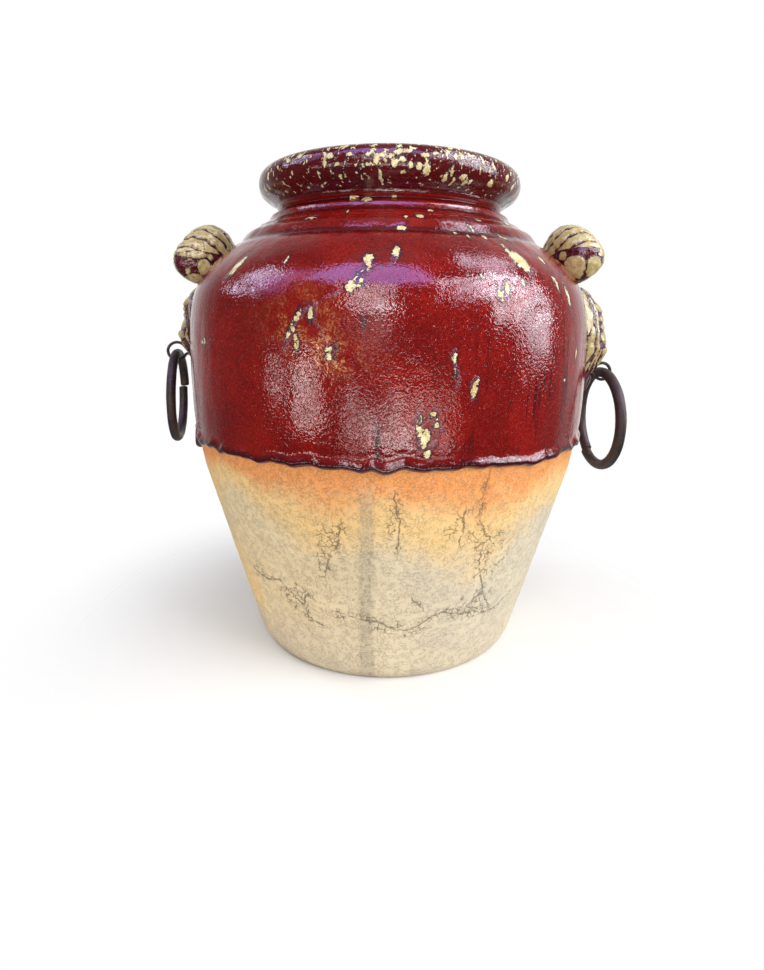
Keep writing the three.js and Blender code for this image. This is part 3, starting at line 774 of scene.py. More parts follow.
def on_the_end(side, plain, along):
    """Each place on its dome as that end is seen, in radii of the end: how far across, how far up
    and how far towards the view."""
    end_way = np.where(along[:, None] > 0, 1.0, -1.0)
    from_end_x = plain[..., 0] - scroll_seat(side) - SCROLL_FLARE
    from_end_y = plain[..., 1] - SCROLL_HALF_SPAN * end_way
    view = math.radians(END_VIEW[side])
    across = (math.cos(view) * from_end_x + math.sin(view) * end_way * from_end_y) / SCROLL_END_RADIUS
    up = (plain[..., 2] - SCROLL_HEIGHT + SCROLL_DROOP[side]) / SCROLL_END_RADIUS
    facing = (math.cos(view) * end_way * from_end_y - math.sin(view) * from_end_x) / SCROLL_END_RADIUS
    return across * end_way * -SIDES[side], up, facing


def scroll(side, seed):
    """Round the centre line goes a circle whose radius is that of the roll, less narrow
    bell-shaped grooves, times a round dome beyond each end."""
    front = -SIDES[side]
    along = np.linspace(-1 - SCROLL_BEYOND * 0.9995, 1 + SCROLL_BEYOND * 0.9995, SCROLL_ROWS)
    end = np.sign(along) * np.clip(np.abs(along) - 1, 0, None)
    share = along - end
    centre, outwards, sideways = scroll_line(side, share, end)
    dome = np.sqrt(np.clip(1 - (end / SCROLL_BEYOND) ** 2, 0, 1))[:, None]
    angle = once_round(SCROLL_COLUMNS)
    full = SCROLL_RADIUS + (SCROLL_END_RADIUS - SCROLL_RADIUS) * share[:, None] ** 2
    girth = np.stack(np.broadcast_arrays(np.cos(angle), np.sin(angle), 0 * angle), -1) * 20
    rough = girth + centre[:, None, :]
    turn = (along[:, None] + 1) / 2 * SCROLL_GROOVES + 0.13 * ripple(rough, 26, seed)
    turn = turn + 0.28 * np.sin(angle - 0.6) * front + 0.06 * ripple(rough, 8, seed + 3)
    pitch = 2 * SCROLL_HALF_SPAN / SCROLL_GROOVES
    from_groove = np.abs((turn + 0.5) % 1 - 0.5) * pitch
    groove_width = 0.60 + 0.22 * ripple(rough, 9, seed + 4)
    around = outwards[:, None] * np.cos(angle)[..., None] + sideways[:, None] * np.sin(angle)[..., None]
    plain = centre[:, None] + (full * dome)[..., None] * around
    end_across, end_up, facing = on_the_end(side, plain, along)
    facing = facing + 0.03 * ripple(plain, 12, seed + 5)
    ribbed = 0.85 * np.clip((end_up - 0.28) / 0.12, 0, 1)
    on_dome = np.clip((facing - 0.22 - ribbed) / 0.08, 0, 1)
    end_groove = bump_at(facing, 0.20, 0.065) * (end_up > -0.3) * (ribbed < 0.4)
    groove = bump_at(from_groove, 0, groove_width + 0.35) * (1 - on_dome)
    radius = full - 1.15 * groove - 0.5 * bump_at(from_groove, 0, 2.2) * (1 - on_dome)
    radius = radius - 1.0 * end_groove
    radius = radius + 0.16 * ripple(rough, 10, seed + 1) + 0.1 * ripple(rough, 4.5, seed + 2)
    sag = 1 + 0.4 * np.clip(np.cos(angle - math.radians(130)), 0, None) ** 3
    isles = inside_islands(end_across, end_up, ISLANDS[side], SCROLL_END_RADIUS)
    ridge = np.where(on_dome > 0.5, isles, from_groove - np.clip(groove_width, 0.15, 3))
    ridge = ridge - 2.2 * end_groove
    radius = (radius + 0.5 * np.clip(isles, -1.2, 1.2) * on_dome) * dome * sag
    places = centre[:, None] + radius[..., None] * around
    off_wall = np.hypot(places[..., 0], places[..., 1]) - wall_radius(places[..., 2]) - COAT_REACH
    ridge = ridge - 2.6 * bump_at(off_wall, 0, 3.2)
    bald = np.clip(-0.1 - share[:, None] * front * 1.8, 0, 1) * bump_at(np.cos(angle + 2.0), 1, 0.4)
    fields = {
        "ridge": np.clip(ridge - (1.8 * bald if side == "left" else 0), -4, 4),
        "seam": bump_at(off_wall, 0, 3.5), "grey": end_groove + 0 * angle,
        "pitted": (0.9 if side == "left" else 0.25) + 0 * radius,
    }
    return make_piece(
        f"{side}_roll", half_turn(places, side), fields,
        stands_for=[f"{side}_scroll"],
    )


scrolls = [scroll("right", 41), scroll("left", 52)]

# %% [markdown]
# ## Leaves
# An acanthus leaf hangs under each scroll: a column of beads down its middle, a thin stem on each
# side of it, and outside the stem long pointed lobes. Each of these is a brush stroke on the
# flattened leaf: a line with a width that changes along it. One field holds, for every place, how
# many millimetres it lies inside the nearest stroke. The strokes stand up as ridges and carry the
# cream; between them lies the dark glaze.

# %% Leaf strokes
LEAF_RISE = 53.0
LEAF_FOOT = {"right": 54.0, "left": 38.0}
LEAF_CREST = {
    "right": [(0, 9), (0.05, 13), (0.12, 17), (0.205, 20.5), (0.35, 21.5), (0.52, 25), (0.7, 14.5), (1, 3)],
    "left": [(0, 12), (0.05, 15.5), (0.12, 19), (0.205, 21.5), (0.35, 19), (0.52, 25), (0.7, 15.5), (1, 3)],
}
LEAF_WIDTH = [(0, 10), (0.12, 18), (0.4, 25), (0.7, 17), (1, 4.5)]

# Beads down the middle: share of the leaf's length, half width, half length in millimetres
BEADS = {
    "right": [
        (0.04, 7, 3.4), (0.17, 10, 4.4), (0.26, 9, 3.2), (0.325, 9, 3.2), (0.415, 10, 6.0),
        (0.53, 9.5, 3.4), (0.60, 6.5, 6.5), (0.80, 3.0, 7.0), (0.93, 2.2, 5.0),
    ],
    "left": [
        (0.05, 9, 4.5), (0.17, 12, 3.8), (0.245, 8, 2.2), (0.315, 11, 3.0), (0.395, 13, 5.0),
        (0.505, 12, 4.4), (0.62, 4.5, 6.5), (0.80, 2.4, 6.0), (0.93, 2.0, 4.0),
    ],
}

# Strokes beside them: (share of the length, share of the half width, half width of the stroke)
STROKES = {
    "right": [
        [(0.04, 0.86, 2.2), (0.14, 0.90, 3.4), (0.27, 0.90, 3.8), (0.385, 0.95, 0.7)],
        [(0.33, 0.78, 1.6), (0.43, 0.80, 2.8), (0.53, 0.86, 2.4), (0.61, 0.95, 0.5)],
        [(0.63, 0.84, 1.6), (0.70, 0.95, 0.4)],
        [(0.09, 0.50, 0.9), (0.24, 0.55, 1.3), (0.40, 0.56, 1.5), (0.55, 0.62, 1.3), (0.68, 0.72, 0.5)],
        [(0.52, 0.50, 0.5), (0.60, 0.50, 1.0), (0.70, 0.42, 0.5)],
        [(0.72, 0.97, 0.9), (0.85, 0.97, 0.9), (0.98, 0.95, 0.7)],
    ],
    "left": [
        [(0.03, 0.97, 1.0), (0.2, 0.975, 1.3), (0.4, 0.975, 1.2), (0.6, 0.975, 0.9)],
        [(0.16, 0.60, 0.8), (0.26, 0.66, 1.2), (0.36, 0.74, 0.4)],
        [(0.44, 0.62, 0.8), (0.52, 0.66, 1.4), (0.62, 0.78, 0.4)],
        [(0.66, 0.25, 0.8), (0.8, 0.35, 0.9), (0.97, 0.4, 0.6)],
    ],
}


def smooth_through(knots, share):
    """A smooth curve through knots: straight mixing, then averaged over a short window."""
    knot_places, values = np.array(knots, float).T
    window = np.linspace(-0.03, 0.03, 11)
    return np.interp(np.clip(share[:, None] + window, 0, 1), knot_places, values).mean(axis=1)


def inside_stroke(across, down, line):
    """Millimetres inside a stroke: its half width less the distance to the nearest point of its
    line, both mixed along each straight part of it."""
    deepest = np.full(across.shape, -9.0)
    for (x0, z0, w0), (x1, z1, w1) in zip(line, line[1:]):
        share, away_x, away_z = from_segment(across, down, (x0, z0), (x1, z1))
        deepest = np.maximum(deepest, w0 + share * (w1 - w0) - np.hypot(away_x, away_z))
    return deepest


# %% Leaves
LEAF_ROWS, HALF_LEAF_COLUMNS = 240, 60
# The stand from the coat: at the leaf's edge, the least and the most that it may be
EDGE_STAND, LEAST_STAND, MOST_STAND = 2.2, 0.8, 25.4


def leaf_ridge(side, y, down, half_width):
    """Millimetres inside the nearest bead or stroke; the strokes are the same on both halves."""
    length = LEAF_RISE + LEAF_FOOT[side]
    beads = [(0, share * length, wide, tall) for share, wide, tall in BEADS[side]]
    ridge = inside_islands(y, down * length, beads, 1.0)
    for line in STROKES[side]:
        knots = [
            (offset * float(np.interp(share, down[:, 0], half_width[:, 0])), share * length, wide)
            for share, offset, wide in line
        ]
        ridge = np.maximum(ridge, inside_stroke(np.abs(y), down * length + 0 * y, knots))
    return ridge


def leaf(side, seed):
    """Front: radius of the wall plus the stand, which falls from the crest to the edge as
    1 - |across|^1.6, raised along the strokes and lowered between them."""
    length = LEAF_RISE + LEAF_FOOT[side]
    down = np.linspace(0.002, 0.998, LEAF_ROWS)[:, None]
    across = np.linspace(-1, 1, 2 * HALF_LEAF_COLUMNS + 1)[None, :]
    across = np.sign(across) * np.abs(across) ** 0.85
    height = BELLY_HEIGHT + LEAF_RISE - length * down
    crest = smooth_through(LEAF_CREST[side], down[:, 0])[:, None]
    half_width = smooth_through(LEAF_WIDTH, down[:, 0])[:, None]
    scallop = 1.4 * bump_at((down * 3.2 + 0.1) % 1, 0.5, 0.16) * (down < 0.75)
    y = (half_width - scallop) * across
    ridge = leaf_ridge(side, y, down, half_width)
    body_share = 1 - np.abs(across) ** 1.6
    flat = np.stack(np.broadcast_arrays(0 * y, y, height), -1)
    stand = EDGE_STAND + (crest - EDGE_STAND) * body_share
    carved = 1.7 * (1 - np.exp(-np.clip(ridge + 0.5, 0, 9) / 1.3)) - 1.9
    stand = stand + carved * np.clip(stand / 4, 0.35, 1) + 0.25 * ripple(flat, 7, seed)
    stand = np.clip(stand, LEAST_STAND, MOST_STAND)
    wall_here = wall_radius(height) + COAT_REACH
    flat_wall = np.sqrt(wall_here**2 - y**2)
    front = np.stack([flat_wall + stand, y, height + 0 * y], -1)
    rear = np.stack([flat_wall - 1.2, y, height + 0 * y], -1)[:, ::-1]
    flank = np.clip((down - 0.74) / 0.08, 0, 1) * (np.abs(across) < 0.9)
    cream = np.clip(ridge - 1.0 * flank, -4, 4) + 0 * y
    blank = np.zeros_like(cream)
    fields = {
        "ridge": np.concatenate([cream, blank - 4], 1),
        "seam": np.concatenate([bump_at(stand, 0, 1.6) * 0.4, blank + 1], 1),
        "grey": np.concatenate([0.7 + blank, blank], 1),
        "pitted": np.concatenate([0.6 + blank, blank], 1),
        # painted shade on the leaf's front
        "painted_leaf_shade": np.concatenate([1.0 + blank, blank], 1),
    }
    return make_piece(
        f"{side}_acanthus", half_turn(np.concatenate([front, rear], axis=1), side), fields,
        stands_for=[f"{side}_leaf"],
    )


leaves = [leaf("right", 61), leaf("left", 72)]

# %% [markdown]
# ## Iron eyes and rings
# The smith bent both from bar. An eye is one loop of thin wire whose two legs run back side by
# side into the clay. A ring is a bent rod whose ends meet in an open butt joint, a little past
# each other. Each is a circle carried along a bent line; a slightly uneven radius and flats from
# the hammer take away the look of pipe. The rings ride on bodies of their own, so they swing.


# %% A bar along a line
def bar(line, radius, sides, side_way, uneven, seed):
    """Circles square to a line. Their first direction is the cross product of the given side
    direction and the line's; both ends are rounded off over a few millimetres."""
    along = np.gradient(line, axis=0)
    along /= np.linalg.norm(along, axis=1, keepdims=True)
    across = np.cross(side_way, along)
    across /= np.linalg.norm(across, axis=1, keepdims=True)
    other = np.cross(along, across)
    angle = once_round(sides)
    circle = across[:, None] * np.cos(angle)[..., None] + other[:, None] * np.sin(angle)[..., None]
    length = run_length(line)
    to_end = np.minimum(length, length[-1] - length)
    blunt = np.sqrt(np.clip(1 - (1 - np.clip(to_end / (radius * 0.35), 0, 1)) ** 2, 0.02, 1))
    surface = line[:, None] + circle * radius
    dents = uneven * ripple(surface, radius * 4.5, seed) + uneven * 0.3 * ripple(surface, radius, seed + 1)
    reach = radius * (0.55 + 0.45 * blunt[:, None]) * (1 - uneven * 1.2 + dents)
    reach = reach * np.where(to_end[:, None] < 1e-6, 0.7, 1)
    return line[:, None] + circle * reach[..., None]


RING_DIAMETER = {"right": 93.0, "left": 87.5}
RING_ROD = {"right": 9.2, "left": 8.4}
BUTT_ANGLE = {"right": 145.0, "left": 276.0}
BUTT_GAP, BUTT_OFFSET = 0.8, 1.6
EYE_HEIGHT = {"right": BELLY_HEIGHT - 21.5, "left": BELLY_HEIGHT - 8.5}
EYE_TURN = {"right": 8.6, "left": 14.0}
EYE_WIRE = 2.8
EYE_PLAY = {"right": 1.5, "left": 2.7}
joints = {joint["child"]: joint for joint in frame["joints"]}
print("joints:", sorted(joints))


def yawed(points, degrees):
    """Points turned about the upright line through the origin."""
    turn = math.radians(degrees)
    x, y, z = np.moveaxis(points, -1, 0)
    return np.stack([
        x * math.cos(turn) - y * math.sin(turn), x * math.sin(turn) + y * math.cos(turn), z,
    ], -1)


# %% Eyes
def eye(side, seed):
    """Leg, loop and leg: straight lines 13 mm long that meet the circle nearly as tangents."""
    pivot = np.array(joints[f"{side}_ring"]["pos_m"]) / MM
    centre = np.array([pivot[0] * SIDES[side], 0, EYE_HEIGHT[side]])
    bend = RING_ROD[side] / 2 + EYE_PLAY[side] + EYE_WIRE / 2
    opening = math.radians(18)
    angle = np.linspace(math.pi - opening, -math.pi + opening, 120)
    loop = np.c_[bend * np.cos(angle), 0 * angle, bend * np.sin(angle)]
    start, stop = loop[0], loop[-1]
    leg = np.linspace(1, 0, 40)[:, None]
    far = np.array([-bend - 12.5, 0.0, 1.2])
    first = start + (far - start) * leg
    last = stop + (far * [1, 1, -1] - stop) * leg[::-1]
    line = np.vstack([first[:-1], loop, last[1:]])
    kernel = np.ones(9) / 9
    padded = np.vstack([np.repeat(line[:1], 4, 0), line, np.repeat(line[-1:], 4, 0)])
    line = np.c_[[np.convolve(column, kernel, "valid") for column in padded.T]].T
    points = bar(line, EYE_WIRE / 2, 20, np.array([0, 1.0, 0]), 0.03, seed)
    points = half_turn(yawed(points, EYE_TURN[side]) + centre, side)
    return make_piece(
        f"{side}_wire_eye", points, stands_for=[f"{side}_eye"],
    )


# %% Rings
def hanging_ring(side, seed):
    """A circle in the plane that hangs under the eye, (pitch t, R sin t, R cos t - R), open at
    the butt joint; the pitch carries one end a little past the other."""
    rod = RING_ROD[side]
    bend = (RING_DIAMETER[side] - rod) / 2
    half_gap = BUTT_GAP / bend / 2
    start = math.radians(BUTT_ANGLE[side])
    angle = np.linspace(start + half_gap, start + 2 * math.pi - half_gap, 420)
    past_top = angle - 2 * math.pi
    line = np.c_[
        BUTT_OFFSET / (2 * math.pi) * past_top, bend * np.sin(angle), bend * (np.cos(angle) - 1),
    ]
    points = bar(line, rod / 2, 36, np.array([1.0, 0, 0]), 0.018, seed)
    pivot = np.array(joints[f"{side}_ring"]["pos_m"]) / MM
    centre = np.array([pivot[0] * SIDES[side], 0, pivot[2]])
    points = half_turn(yawed(points, EYE_TURN[side]) + centre, side)
    return make_piece(
        f"{side}_rod_ring", points, body=f"{side}_ring",
        stands_for=[f"{side}_ring"],
    )


irons = [eye("right", 81), eye("left", 82), hanging_ring("right", 83), hanging_ring("left", 84)]

# %% [markdown]
# ## Small tools for materials
# A material is a graph of nodes. These few helpers add a node, feed each socket with a value or
# a link, and give back its output, so that each recipe below reads like a list of steps.


# %% Node helpers
def feed(tree, socket, value):
    """Links the value into the socket if it is an output, or writes it there."""
    if isinstance(value, bpy.types.NodeSocket):
        tree.links.new(value, socket)
    elif value is not None:
        socket.default_value = value


def add(tree, kind, output=0, settings=None, **sockets):
    """Adds a node; sockets are given by name with _ for a space. Returns one of its outputs."""
    node = tree.nodes.new(kind)
    for name, value in (settings or {}).items():
        setattr(node, name, value)
    for name, value in sockets.items():
        feed(tree, node.inputs[name.replace("_", " ")], value)
    return node.outputs[output]


def maths(tree, operation, a, b=None, c=None, clamp=False):
    """A Math node on up to three values."""
    node = tree.nodes.new("ShaderNodeMath")
    node.operation, node.use_clamp = operation, clamp
    for socket, value in zip(node.inputs, (a, b, c)):
        feed(tree, socket, value)
    return node.outputs[0]


def mix(tree, share, a, b, blend="MIX"):
    """Mixes two colours by a share from 0 to 1."""
    node = tree.nodes.new("ShaderNodeMix")
    node.data_type, node.blend_type = "RGBA", blend
    for socket, value in zip((node.inputs[0], node.inputs[6], node.inputs[7]), (share, a, b)):
        feed(tree, socket, value)
    return node.outputs[2]


def tint(tree, base, mask, strength, colour):
    """Mixes a colour over the base, as far as a mask times a strength says."""
    return mix(tree, maths(tree, "MULTIPLY", mask, strength), base, (*colour, 1))


def ramp(tree, value, low, high, to_low=0.0, to_high=1.0):
    """Smooth step: the value's way from low to high becomes a soft way between two results."""
    return add(
        tree, "ShaderNodeMapRange", settings={"interpolation_type": "SMOOTHSTEP"},
        Value=value, From_Min=low, From_Max=high, To_Min=to_low, To_Max=to_high,
    )


def field(tree, name):
    """One of the fields stored on the vertices."""
    node = tree.nodes.new("ShaderNodeAttribute")
    node.attribute_name = name
    return node.outputs["Fac"]


def places(tree, stretch=(1, 1, 1)):
    """Object coordinates in metres, optionally stretched."""
    coordinates = tree.nodes.new("ShaderNodeTexCoord").outputs["Object"]
    return add(tree, "ShaderNodeMapping", Vector=coordinates, Scale=stretch)


def noise(tree, vector, scale, detail=3.0, rough=0.55, warp=0.0):
    """Cloudy noise, about 0 to 1."""
    return add(
        tree, "ShaderNodeTexNoise", Vector=vector, Scale=scale, Detail=detail,
        Roughness=rough, Distortion=warp,
    )


def new_group(name, inputs, outputs):
    """A node group with named sockets. Returns its tree, what comes in and what has to be fed."""
    tree = bpy.data.node_groups.new(name, "ShaderNodeTree")
    kinds = {"value": "NodeSocketFloat", "vector": "NodeSocketVector", "colour": "NodeSocketColor"}
    for socket, kind in inputs.items():
        tree.interface.new_socket(socket, in_out="INPUT", socket_type=kinds[kind])
    for socket, kind in outputs.items():
        tree.interface.new_socket(socket, in_out="OUTPUT", socket_type=kinds[kind])
    entry = tree.nodes.new("NodeGroupInput").outputs
    leave = tree.nodes.new("NodeGroupOutput").inputs
    return tree, entry, leave


def use_group(tree, group, output, **sockets):
    """Places a group in a material with its own values."""
    node = tree.nodes.new("ShaderNodeGroup")
    node.node_tree = group
    for name, value in sockets.items():
        feed(tree, node.inputs[name.replace("_", " ")], value)
    return node.outputs[output]


def new_material(name, **shader_values):
    """A material with a Principled shader; plain values go straight on the shader's sockets."""
    material = bpy.data.materials.new(name)
    material.use_nodes = True
    tree = material.node_tree
    shader = tree.nodes["Principled BSDF"]
    for socket, value in shader_values.items():
        shader.inputs[socket.replace("_", " ")].default_value = value
    return material, tree, shader


def roughen(tree, shader, height, strength, distance):
    """Bumps the shader's normals by a height; the distance is in metres."""
    bump = add(tree, "ShaderNodeBump", Strength=strength, Distance=distance, Height=height)
    feed(tree, shader.inputs["Normal"], bump)


def give(material, *pieces):
    """Puts one material on pieces."""
    for piece in pieces:
        piece.data.materials.clear()
        piece.data.materials.append(material)


# %% [markdown]
# ## Effects that several finishes share
# A ragged edge turns any smooth field into a crisp patch with a torn outline. Orange peel is the
# fine waviness of all these glazes. Grain is the salt and pepper of fired clay and rust.

# %% Shared groups
ragged, entry, leave = new_group(
    "ragged edge",
    {"Field": "value", "Vector": "vector", "Scale": "value", "Wander": "value", "Soft": "value"},
    {"Mask": "value", "Depth": "value"},
)
torn = noise(ragged, entry["Vector"], entry["Scale"], 5.0, 0.6, 0.4)
torn = maths(ragged, "MULTIPLY", maths(ragged, "SUBTRACT", torn, 0.5), entry["Wander"])
depth = maths(ragged, "ADD", entry["Field"], torn)
feed(ragged, leave["Depth"], depth)
feed(ragged, leave["Mask"], ramp(
    ragged, depth, maths(ragged, "MULTIPLY", entry["Soft"], -1.0), entry["Soft"],
))


def torn_edge(tree, inside, where, scale, wander, soft):
    """The mask of a ragged edge, and how far inside that edge each place lies."""
    mask = use_group(
        tree, ragged, "Mask", Field=inside, Vector=where, Scale=scale, Wander=wander, Soft=soft,
    )
    return mask, mask.node.outputs["Depth"]


peel, entry, leave = new_group(
    "orange peel", {"Vector": "vector", "Scale": "value", "Fine": "value"}, {"Height": "value"},
)
broad = noise(peel, entry["Vector"], entry["Scale"], 1.0, 0.3, 0.9)
fine = noise(peel, entry["Vector"], maths(peel, "MULTIPLY", entry["Scale"], 2.4), 1.0, 0.5, 0.3)
feed(peel, leave["Height"], maths(peel, "MULTIPLY_ADD", fine, entry["Fine"], broad))

grain, entry, leave = new_group(
    "fired grain", {"Vector": "vector", "Scale": "value", "Share": "value"},
    {"Specks": "value", "Cloud": "value"},
)
salt = noise(grain, entry["Vector"], entry["Scale"], 2.0, 0.7)
limit = maths(grain, "SUBTRACT", 1.0, entry["Share"])
feed(grain, leave["Specks"], ramp(grain, salt, limit, maths(grain, "ADD", limit, 0.08)))
feed(grain, leave["Cloud"], noise(
    grain, entry["Vector"], maths(grain, "MULTIPLY", entry["Scale"], 0.12), 6.0, 0.65,
))

crackle, entry, leave = new_group(
    "broken crackle",
    {"Vector": "vector", "Scale": "value", "Thin": "value", "Broken": "value"}, {"Lines": "value"},
)
wobble = crackle.nodes.new("ShaderNodeVectorMath")
wobble.operation = "MULTIPLY_ADD"
tangle = crackle.nodes.new("ShaderNodeTexNoise")
feed(crackle, tangle.inputs["Vector"], entry["Vector"])
feed(crackle, tangle.inputs["Scale"], maths(crackle, "MULTIPLY", entry["Scale"], 1.4))
feed(crackle, tangle.inputs["Detail"], 4.0)
feed(crackle, wobble.inputs[0], tangle.outputs["Color"])
feed(crackle, wobble.inputs[1], (0.006, 0.006, 0.006))
feed(crackle, wobble.inputs[2], entry["Vector"])
cells = add(
    crackle, "ShaderNodeTexVoronoi", 0, settings={"feature": "DISTANCE_TO_EDGE"},
    Vector=wobble.outputs[0], Scale=entry["Scale"],
)
gaps = noise(crackle, entry["Vector"], maths(crackle, "MULTIPLY", entry["Scale"], 0.5), 4.0, 0.65)
shown = ramp(crackle, gaps, entry["Broken"], maths(crackle, "ADD", entry["Broken"], 0.1))
lines = ramp(crackle, cells, entry["Thin"], maths(crackle, "MULTIPLY", entry["Thin"], 0.3))
feed(crackle, leave["Lines"], maths(crackle, "MULTIPLY", lines, shown))
print("groups:", [group.name for group in bpy.data.node_groups])

# %% [markdown]
# ## Oxblood glaze
# Copper red is deep and dark where it is thick and scarlet where it is thin; the purple sheen on
# the shoulder is mirrored light. Bare cream patches have black-brown edges and a smoky halo. The
# surface is glass, so the shader is smooth and not metal; orange peel breaks every reflection
# into small worms.

# %% Oxblood material
oxblood, tree, shader = new_material("oxblood", IOR=1.6)
where = places(tree)
peel_height = use_group(tree, peel, "Height", Vector=where, Scale=450.0, Fine=0.05)
pinholes = use_group(tree, grain, "Specks", Vector=where, Scale=600.0, Share=0.35)
cloud = noise(tree, where, 22.0, 4.0, 0.6, 0.5)
mottle = noise(tree, where, 1100.0, 2.0, 0.7)
red = mix(tree, ramp(tree, cloud, 0.35, 0.7), (0.155, 0.0035, 0.003, 1), (0.25, 0.007, 0.004, 1))
red = mix(tree, ramp(tree, mottle, 0.50, 0.62, 0.0, 0.75), red, (0.05, 0.002, 0.0025, 1))
red = mix(tree, ramp(tree, mottle, 0.45, 0.34, 0.0, 0.4), red, (0.42, 0.03, 0.02, 1))
blotch = noise(tree, where, 330.0, 4.0, 0.7, 0.5)
red = mix(tree, ramp(tree, blotch, 0.52, 0.70, 0.0, 0.5), red, (0.07, 0.002, 0.003, 1))
red = mix(tree, ramp(tree, blotch, 0.44, 0.30, 0.0, 0.4), red, (0.34, 0.015, 0.008, 1))
hot_noise = noise(tree, where, 60.0, 5.0, 0.65, 0.6)
hot = maths(tree, "MULTIPLY", field(tree, "hot"), ramp(tree, hot_noise, 0.40, 0.56), clamp=True)
red = tint(tree, red, hot, 0.6, (0.24, 0.035, 0.008))
embers = use_group(tree, grain, "Specks", Vector=where, Scale=560.0, Share=0.50)
embers = maths(tree, "MULTIPLY", embers, maths(tree, "MULTIPLY", hot, hot))
red = tint(tree, red, embers, 0.9, (0.66, 0.27, 0.12))
streak_noise = noise(tree, places(tree, (1, 1, 0.07)), 150.0, 4.0, 0.6, 0.2)
streak = maths(tree, "MULTIPLY", ramp(tree, streak_noise, 0.56, 0.66), field(tree, "runs"))
red = tint(tree, red, streak, 0.8, (0.045, 0.002, 0.004))
pool = ramp(tree, field(tree, "from_edge"), 8.5, 3.0)
red = tint(tree, red, pool, 0.9, (0.03, 0.002, 0.004))
# Painted shade: the glaze in the collar's grooves is darkened, where shade falls between the ledges.
painted_groove_shade = ramp(tree, field(tree, "collar_rise"), -0.1, -0.6, 0.0, 0.75)
red = mix(tree, painted_groove_shade, red, (0.05, 0.002, 0.004, 1))
# Painted shade: from just under the rim upwards, over the rim and inside the mouth, the glaze is darkened
# to near-black red.
under_rim = ramp(tree, field(tree, "rim"), 0.0, 0.2, 0.0, 0.68)
red = mix(tree, under_rim, red, (0.045, 0.002, 0.003, 1))

rim_noise = noise(tree, places(tree, (1, 1, 0.8)), 250.0, 3.0, 0.6, 0.3)
drip_noise = noise(tree, places(tree, (1, 1, 0.2)), 230.0, 2.0, 0.5, 0.1)
height_z = add(tree, "ShaderNodeSeparateXYZ", 2, Vector=where)
low_rim = ramp(tree, height_z, 0.398, 0.384)
fleck = maths(tree, "SUBTRACT", rim_noise, maths(tree, "MULTIPLY", low_rim, 0.07))
drip = maths(tree, "SUBTRACT", drip_noise, maths(tree, "MULTIPLY", low_rim, 0.02))
fleck = maths(tree, "MAXIMUM", fleck, maths(tree, "SUBTRACT", drip, 0.055))
fleck = maths(tree, "SUBTRACT", fleck, ramp(tree, field(tree, "drawn"), 0.0, 1.0, 0.575, 0.60))
fleck = maths(tree, "MULTIPLY", fleck, 40.0)
on_ledge = ramp(tree, field(tree, "collar_rise"), 0.9, 1.5, 14.0, 3.6)
off_rim = ramp(tree, field(tree, "rim"), 0.1, 0.9, 14.0, 0.0)
fleck = maths(tree, "SUBTRACT", fleck, maths(tree, "MINIMUM", on_ledge, off_rim))
inside = maths(tree, "MAXIMUM", field(tree, "patch"), fleck)
cream_mask, torn_depth = torn_edge(tree, inside, where, 330.0, 6.0, 0.2)
halo = ramp(tree, torn_depth, -3.8, -0.9)
outline = ramp(tree, torn_depth, -1.5, -0.35)
cream_cloud = noise(tree, where, 190.0, 4.0, 0.65)
cream = mix(
    tree, ramp(tree, cream_cloud, 0.35, 0.65), (0.56, 0.42, 0.17, 1), (0.84, 0.76, 0.46, 1),
)
cream_spots = use_group(tree, grain, "Specks", Vector=where, Scale=700.0, Share=0.40)
cream = tint(tree, cream, cream_spots, 0.8, (0.16, 0.06, 0.035))
red = tint(tree, red, halo, 0.45, (0.075, 0.008, 0.016))
red = tint(tree, red, outline, 0.9, (0.018, 0.006, 0.010))
scar_depth = maths(tree, "SUBTRACT", 1.1, field(tree, "scar"))
scar, _ = torn_edge(tree, scar_depth, where, 150.0, 9.0, 0.7)
red = tint(tree, red, scar, 0.7, (0.14, 0.035, 0.05))
feed(tree, shader.inputs["Base Color"], mix(tree, cream_mask, red, cream))
rough = maths(tree, "MULTIPLY_ADD", mottle, 0.02, 0.008)
feed(tree, shader.inputs["Roughness"], maths(tree, "MULTIPLY_ADD", cream_mask, 0.2, rough))
relief = maths(tree, "MULTIPLY_ADD", ramp(tree, torn_depth, -1.0, 1.0), 1.2, peel_height)
relief = maths(tree, "MULTIPLY_ADD", scar, 1.2, relief)
relief = maths(tree, "MULTIPLY_ADD", pinholes, -0.5, relief)
roughen(tree, shader, relief, 1.0, 0.00018)
give(oxblood, glaze)

# %% [markdown]
# ## The colours of bare clay
# Close to, the clay is sandy, with a net of hair cracks and grey specks, and it goes from orange
# at the glaze over butter yellow to grey cream. It is dull, so it is rough and barely shiny.

# %% Clay material
bare, tree, shader = new_material("bare_clay", IOR=1.4, Roughness=0.9)
where = places(tree)
broad_noise = noise(tree, where, 26.0, 5.0, 0.6, 0.5)
sand = noise(tree, where, 1500.0, 2.0, 0.7)
wander = maths(tree, "MULTIPLY", maths(tree, "SUBTRACT", broad_noise, 0.5), 0.55)
burn = maths(tree, "ADD", field(tree, "flash"), wander)
dust = noise(tree, where, 500.0, 3.0, 0.7)
burn = maths(tree, "ADD", burn, maths(tree, "MULTIPLY", maths(tree, "SUBTRACT", dust, 0.5), 0.12))
low_burn = maths(tree, "MULTIPLY", field(tree, "blush"), ramp(tree, broad_noise, 0.3, 0.6))
burn = maths(tree, "MAXIMUM", burn, maths(tree, "MULTIPLY", low_burn, 0.85))
height_z = add(tree, "ShaderNodeSeparateXYZ", 2, Vector=where)
sideways_x = add(tree, "ShaderNodeSeparateXYZ", 0, Vector=where)
pale = mix(tree, ramp(tree, sideways_x, -0.11, 0.11), (0.71, 0.56, 0.32, 1), (0.57, 0.52, 0.41, 1))
